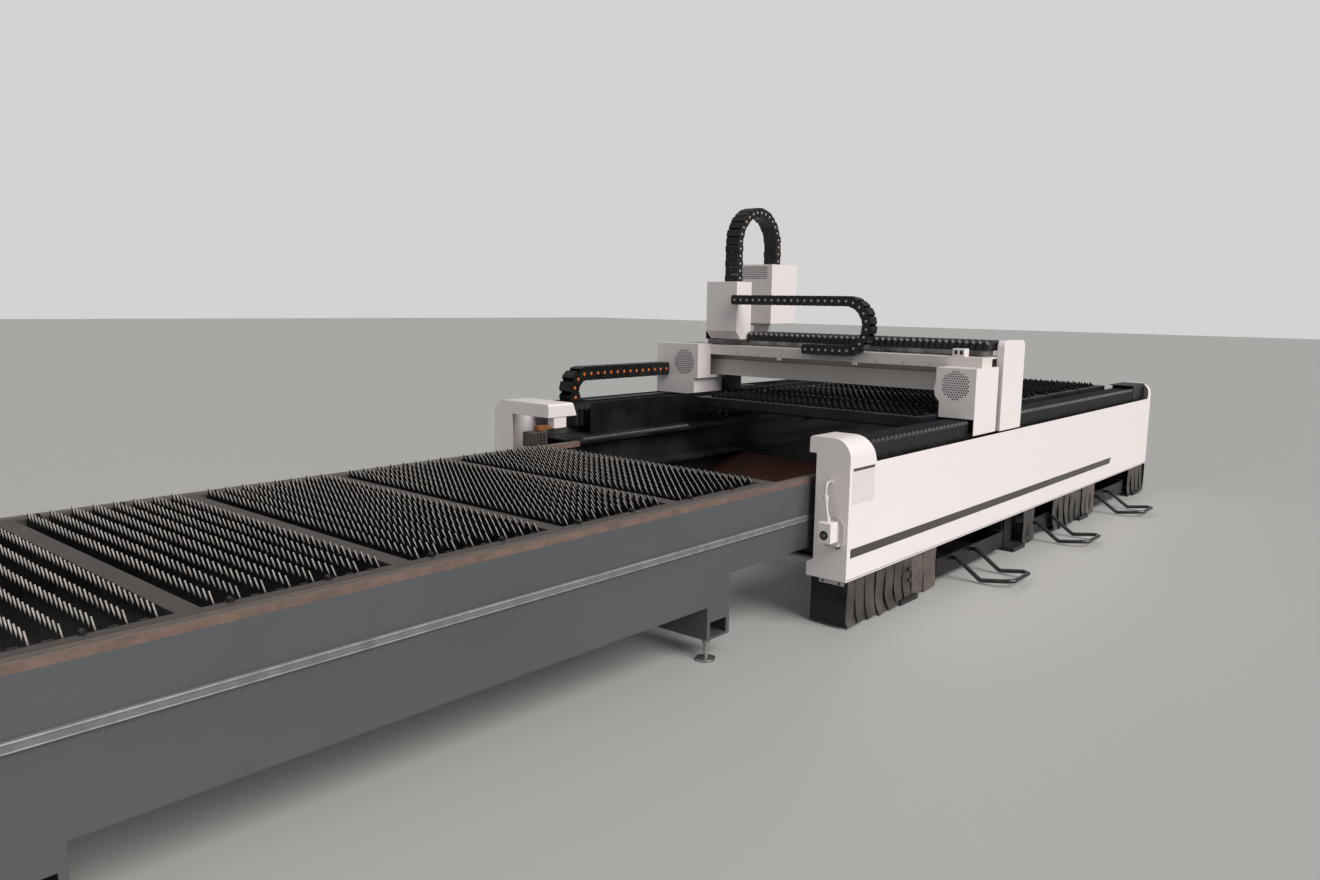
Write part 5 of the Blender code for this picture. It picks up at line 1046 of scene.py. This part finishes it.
def close_strip(shape, front, back):
    """Faces for both sides of a strip and its edges. front and back are rows of points."""
    for row in range(strip_rows):
        for column in range(strip_columns):
            shape.faces.new((front[row][column], front[row][column + 1],
                             front[row + 1][column + 1], front[row + 1][column]))
            shape.faces.new((back[row][column], back[row + 1][column],
                             back[row + 1][column + 1], back[row][column + 1]))
        for column in (0, strip_columns):
            shape.faces.new((front[row][column], front[row + 1][column], back[row + 1][column],
                             back[row][column]))
    for row in (0, -1):
        for column in range(strip_columns):
            shape.faces.new((front[row][column], front[row][column + 1],
                             back[row][column + 1], back[row][column]))


print("points in a strip:", 2 * (strip_rows + 1) * (strip_columns + 1))

# %% [markdown]
# A run of strips takes its turns, curls and lengths from one seeded draw. The sheet round the
# machine's end is smoother, and its near-black colour is painted shade. Old strips have gone brown.

# %% Rubber skirts
def hanging_strips(name, node, span, top, foot, material, body, joint=None, seed=1):
    """Strips along X or Y, each with its own turn and curl."""
    plane, start, end, fixed, width, bend = span
    shape = bmesh.new()
    chance = random.Random(seed)
    count = max(1, round((end - start) / width))
    each = (end - start) / count
    for number in range(count):
        turned = chance.uniform(0.006, 0.017)
        curl = chance.uniform(0.012, 0.030) * bend
        wave = chance.uniform(0, 6.28)
        drop = chance.uniform(0.0, 0.010)
        front = []
        back = []
        for row in range(strip_rows + 1):
            share = row / strip_rows
            height = top + (foot + drop - top) * share
            curled = max(0.0, share - curl_start_share) / curl_length_share
            pairs = []
            for column in range(strip_columns + 1):
                across = column / strip_columns
                along = start + each * (number + across) + (across - 0.5) * strip_overlap
                out = fixed - strip_stand - turned * (turn_centre_share - across) * (0.25 + share)
                out += 0.0022 * math.sin(wave + share * 6.0) - curl * curled ** 2
                out -= strip_belly * math.sin(math.pi * across)
                pairs.append(strip_points(shape, plane, along, out, height))
            front.append([pair[0] for pair in pairs])
            back.append([pair[1] for pair in pairs])
        close_strip(shape, front, back)
    stands_for = (node,) if node else ()
    piece = settle(name, shape, material, None if joint else body, stands_for=stands_for)
    if joint:
        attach(piece, body)
        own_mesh(piece)
    return piece


old_rubber = paint(
    "old_rubber", (0.125, 0.100, 0.088), (0.055, 0.047, 0.043),
    share=0.9, patch=16.0, grain=90, bump=0.35, rough=0.5, spread=0.1,
)
# The end sheet is smoother than the strips, and its near-black colour is painted shade for the machine's
# shaded end.
end_sheet_painted_shade = paint(
    "end_sheet_painted_shade", (0.0045, 0.0055, 0.0060), (0.010, 0.010, 0.011),
    share=0.6, patch=6.0, grain=130, bump=0.08, rough=0.36, spread=0.08,
)
top_edge = 0.2255
near_line = 0.014
skirts = [
    # name, solid, (axis, start, end, outer face, strip width, curl), foot, material, joint, seed
    ("strips_1", "skirt_1", ("X", 0.020, 0.700, 0.016, 0.100, 1.0), 0.003, rubber, None, 3),
    ("strips_1_old", None, ("X", 0.690, 0.970, near_line, 0.140, 0.2), 0.006, old_rubber, None, 8),
    ("strips_1_end", None, ("Y", 0.004, 0.190, 0.020, 0.186, 0.5), 0.003, end_sheet_painted_shade, None, 9),
    ("strips_2", "skirt_2", ("X", 2.225, 2.410, near_line, 0.095, 0.4), 0.005, rubber,
     "slag_tray_2_slide", 4),
    ("strips_3", "skirt_3", ("X", 2.750, 3.325, near_line, 0.115, 0.5), 0.005, rubber,
     "slag_tray_2_slide", 5),
    ("strips_4", "skirt_4", ("X", 3.345, 3.630, near_line, 0.095, 0.4), 0.005, old_rubber,
     "slag_tray_3_slide", 6),
    ("strips_5", "skirt_5", ("X", 4.460, 4.890, near_line, 0.105, 0.6), 0.003, rubber, None, 7),
    ("strips_5_end", None, ("Y", 0.004, 0.190, 4.892, 0.186, 0.0), 0.003, end_sheet_painted_shade, None, 10),
]
for name, node, span, foot, material, joint, seed in skirts:
    hanging_strips(name, node, span, top_edge, foot, material, "bed", joint, seed)
# Two glossy black discs on the skirt stand for bolt holes: their black is painted shade for the dark
# inside.
bolts = [(place, 0.013, 0.010, 18) for place in ((0.630, -0.0040, 0.168), (0.632, -0.0100, 0.112))]
disc_piece("skirt_bolt_hole_shades", bolts, "Y", gloss_black, "bed", edge=0.001)
print("skirts:", len(skirts))

# %% [markdown]
# Slag trays slide out on the near side by a bent tube handle. The tray keeps the form of its solid
# without the handle, and the handle is a round glossy tube whose ends are pressed flat under a
# bolt.

# %% Slag trays and their handles
# The trays' base colour is darker than the bed's black: painted shade, as they sit deep under the cover.
# The dust on top is their own.
tray_painted_shade = paint(
    "tray_painted_shade", (0.0035, 0.0037, 0.0040), (0.010, 0.0095, 0.009),
    share=0.7, patch=5.0, grain=220, bump=0.08, rough=0.45, spread=0.12, dust=0.3,
    dust_colour=(0.045, 0.040, 0.036),
)
tray_count = 3
first_tray = 1.000
tray_pitch = 1.230
tray_half_width = 0.490
handle_shift = 0.150
handle_half = 0.135
handle_radius = 0.0122
handle_front = -0.321
handle_level = 0.040
bolt_level = 0.114
ear_half = 0.019
handle_side = [  # inward from the handle's side, place across the machine, height
    (0.0, 0.026, bolt_level), (0.0, 0.000, bolt_level), (0.0, -0.020, 0.106), (0.0, -0.120, 0.035),
    (0.0, -0.142, 0.021), (0.0, -0.165, 0.020), (0.0, -0.268, 0.036), (0.008, -0.292, 0.0385),
    (0.030, -0.317, handle_level), (0.045, handle_front, handle_level),
]
for index in range(tray_count):
    body = f"slag_tray_{index + 1}"
    dressed(body, tray_painted_shade, edge=0.0012, keep=lambda point: point.y > 0.0296)
    middle = first_tray + index * tray_pitch + tray_half_width - handle_shift
    left = middle - handle_half
    right = middle + handle_half
    corners = [(left + inward, across, height) for inward, across, height in handle_side]
    corners.append((middle, handle_front, handle_level))
    corners += [(right - inward, across, height) for inward, across, height in reversed(handle_side)]
    add_tube(f"tray_handle_{index + 1}", smooth_points(corners, 4), handle_radius, gloss_black, body,
             resolution=5)
    ears = [((side - ear_half, 0.0262, 0.094), (side + ear_half, 0.0298, 0.134)) for side in (left, right)]
    box_piece(f"tray_handle_ears_{index + 1}", ears, gloss_black, body, edge=0.0015)
    bolts = [((side, 0.012, bolt_level), 0.0085, 0.028, 6) for side in (left, right)]
    disc_piece(f"tray_handle_bolts_{index + 1}", bolts, "Y", steel, body, edge=0.0008)
print("tray handles:", tray_count)

# %% [markdown]
# The beam is a welded box section. Its front has a ledge that carries the chain, a dark recess below
# the ledge and a plain lower web. The solid gives these steps, and a thin pale strip with screws
# closes the ledge.

# %% Beam
dressed("gantry_beam", pale, edge=0.002)
dressed("carriage_saddle", grey, edge=0.002)
dressed("switch_box", white, edge=0.003)
nozzle_copper = paint(
    "nozzle_copper", (0.60, 0.33, 0.14), (0.42, 0.22, 0.10),
    share=0.6, patch=30.0, grain=300, bump=0.03, rough=0.3, spread=0.08, metal=1.0,
)
dressed("nozzle", nozzle_copper, edge=0.0005)
beam_face = 1.5195
screw_count = 9
screw_pitch = 0.175
first_screw = 0.36
screws = [((beam_face, first_screw + number * screw_pitch, 1.160), 0.005, 0.003, 12)
          for number in range(screw_count)]
disc_piece("beam_screws", screws, "X", steel, "gantry")
button_half = 0.009
buttons = [((1.5335, across - button_half, 1.222), (1.5352, across + button_half, 1.246))
           for across in (0.180, 0.213)]
box_piece("switch_marks", buttons, gloss_black, "gantry")
tab_half = 0.016
tabs = [((1.512, across - tab_half, 1.128), (beam_face, across + tab_half, 1.142))
        for across in (0.86, 1.42)]
box_piece("beam_tabs", tabs, white, "gantry", edge=0.001)
print("beam screws:", screw_count)

# %% [markdown]
# A black box closes the rear end of each rail's folded cover. At the far side's front end the hood
# holds a small white box, an orange cable clamp and a worn block with holes, and the drive chain
# lies on its track with pale links beside two white wear strips.

# %% Rail ends and the far front corner
rail_ends = [
    ((4.560, 0.045, 0.745), (4.8690, 0.207, 0.884)),
    ((4.500, 0.040, 0.884), (4.8690, 0.212, 0.890)),
    ((4.560, 2.020, 0.745), (4.8690, 2.182, 0.884)),
]
box_piece("rail_end_boxes", rail_ends, black, "bed", edge=0.002)
corner_box = ((0.050, 2.0050, 0.748), (0.150, 2.060, 0.812))
box_piece("far_corner_box", [corner_box], white, "bed", edge=0.003)
clamp_orange = paint(
    "clamp_orange", (0.28, 0.10, 0.025), (0.16, 0.06, 0.02),
    share=0.8, patch=30.0, grain=200, bump=0.1, rough=0.5,
)
clamp = ((-0.050, 2.030, 0.742), (0.042, 2.075, 0.768))
box_piece("far_corner_clamp", [clamp], clamp_orange, "bed", edge=0.002)
block = ((-0.120, 2.000, 0.655), (-0.006, 2.090, 0.738))
box_piece("far_corner_block", [block], worn, "bed", edge=0.002)
# Sixteen glossy black discs on the block's face: painted shade for the dark inside of its holes.
marks = [((-0.108 + column * 0.024, 1.9998, 0.668 + row * 0.018), 0.0055, 0.001, 10)
         for column in range(4) for row in range(4)]
disc_piece("far_corner_hole_shades", marks, "Y", gloss_black, "bed")
wear_strips = [((0.300, 1.816, 0.6932), (0.560, 1.838, 0.7010)),
               ((0.150, 1.752, 0.5033), (0.480, 1.772, 0.5110))]
box_piece("wear_strips", wear_strips, pale, "bed", edge=0.001)
drive_pin_count = 80
drive_pin_pitch = 0.012
drive_pins = [((0.096 + number * drive_pin_pitch, 1.7955, 0.7025), 0.0042, 0.003, 10)
              for number in range(drive_pin_count)]
disc_piece("drive_chain_pins", drive_pins, "Y", steel, "bed")
print("marks on the block:", len(marks))

# %% [markdown]
# The end boxes of the gantry and the head's cover breathe through round fields of small holes. Real
# holes in thin sheet would need hundreds of cuts, and at this size only their dark mouths are seen,
# so each is a black disc almost flush with the sheet, and its black is painted shade for the hole.

# %% Perforated fields
hole_pitch = 0.0150
hole_radius = 0.0048
hole_depth = 0.0008
hole_sides = 8
row_share = 0.866


def hole_field(name, centre, radius, body, half_width=None):
    """Dark round mouths in a hexagonal grid, inside a circle or a box of a half width."""
    holes = []
    pitch = hole_pitch
    rows = int(radius / (pitch * row_share)) + 1
    columns = int((half_width or radius) / pitch) + 2
    for row in range(-rows, rows + 1):
        for column in range(-columns, columns + 1):
            first = (column + (0.5 if row % 2 else 0.0)) * pitch
            second = row * pitch * row_share
            outside = math.hypot(first, second) > radius
            if half_width:
                outside = abs(first) > half_width or abs(second) > radius
            if not outside:
                place = (centre[0], centre[1] + first, centre[2] + second)
                holes.append((place, hole_radius, hole_depth, hole_sides))
    # Glossy black discs: painted shade for the dark inside of each hole.
    disc_piece(name, holes, "X", gloss_black, body)
    return len(holes)


holes = [
    hole_field("holes_end_near", (1.3768, 0.134, 1.055), 0.082, "gantry"),
    hole_field("holes_end_far", (1.3768, 2.110, 1.090), 0.086, "gantry"),
    hole_field("holes_head", (1.9098, 1.912, 1.712), 0.040, "head", half_width=0.105),
]
print("holes in each field:", holes)
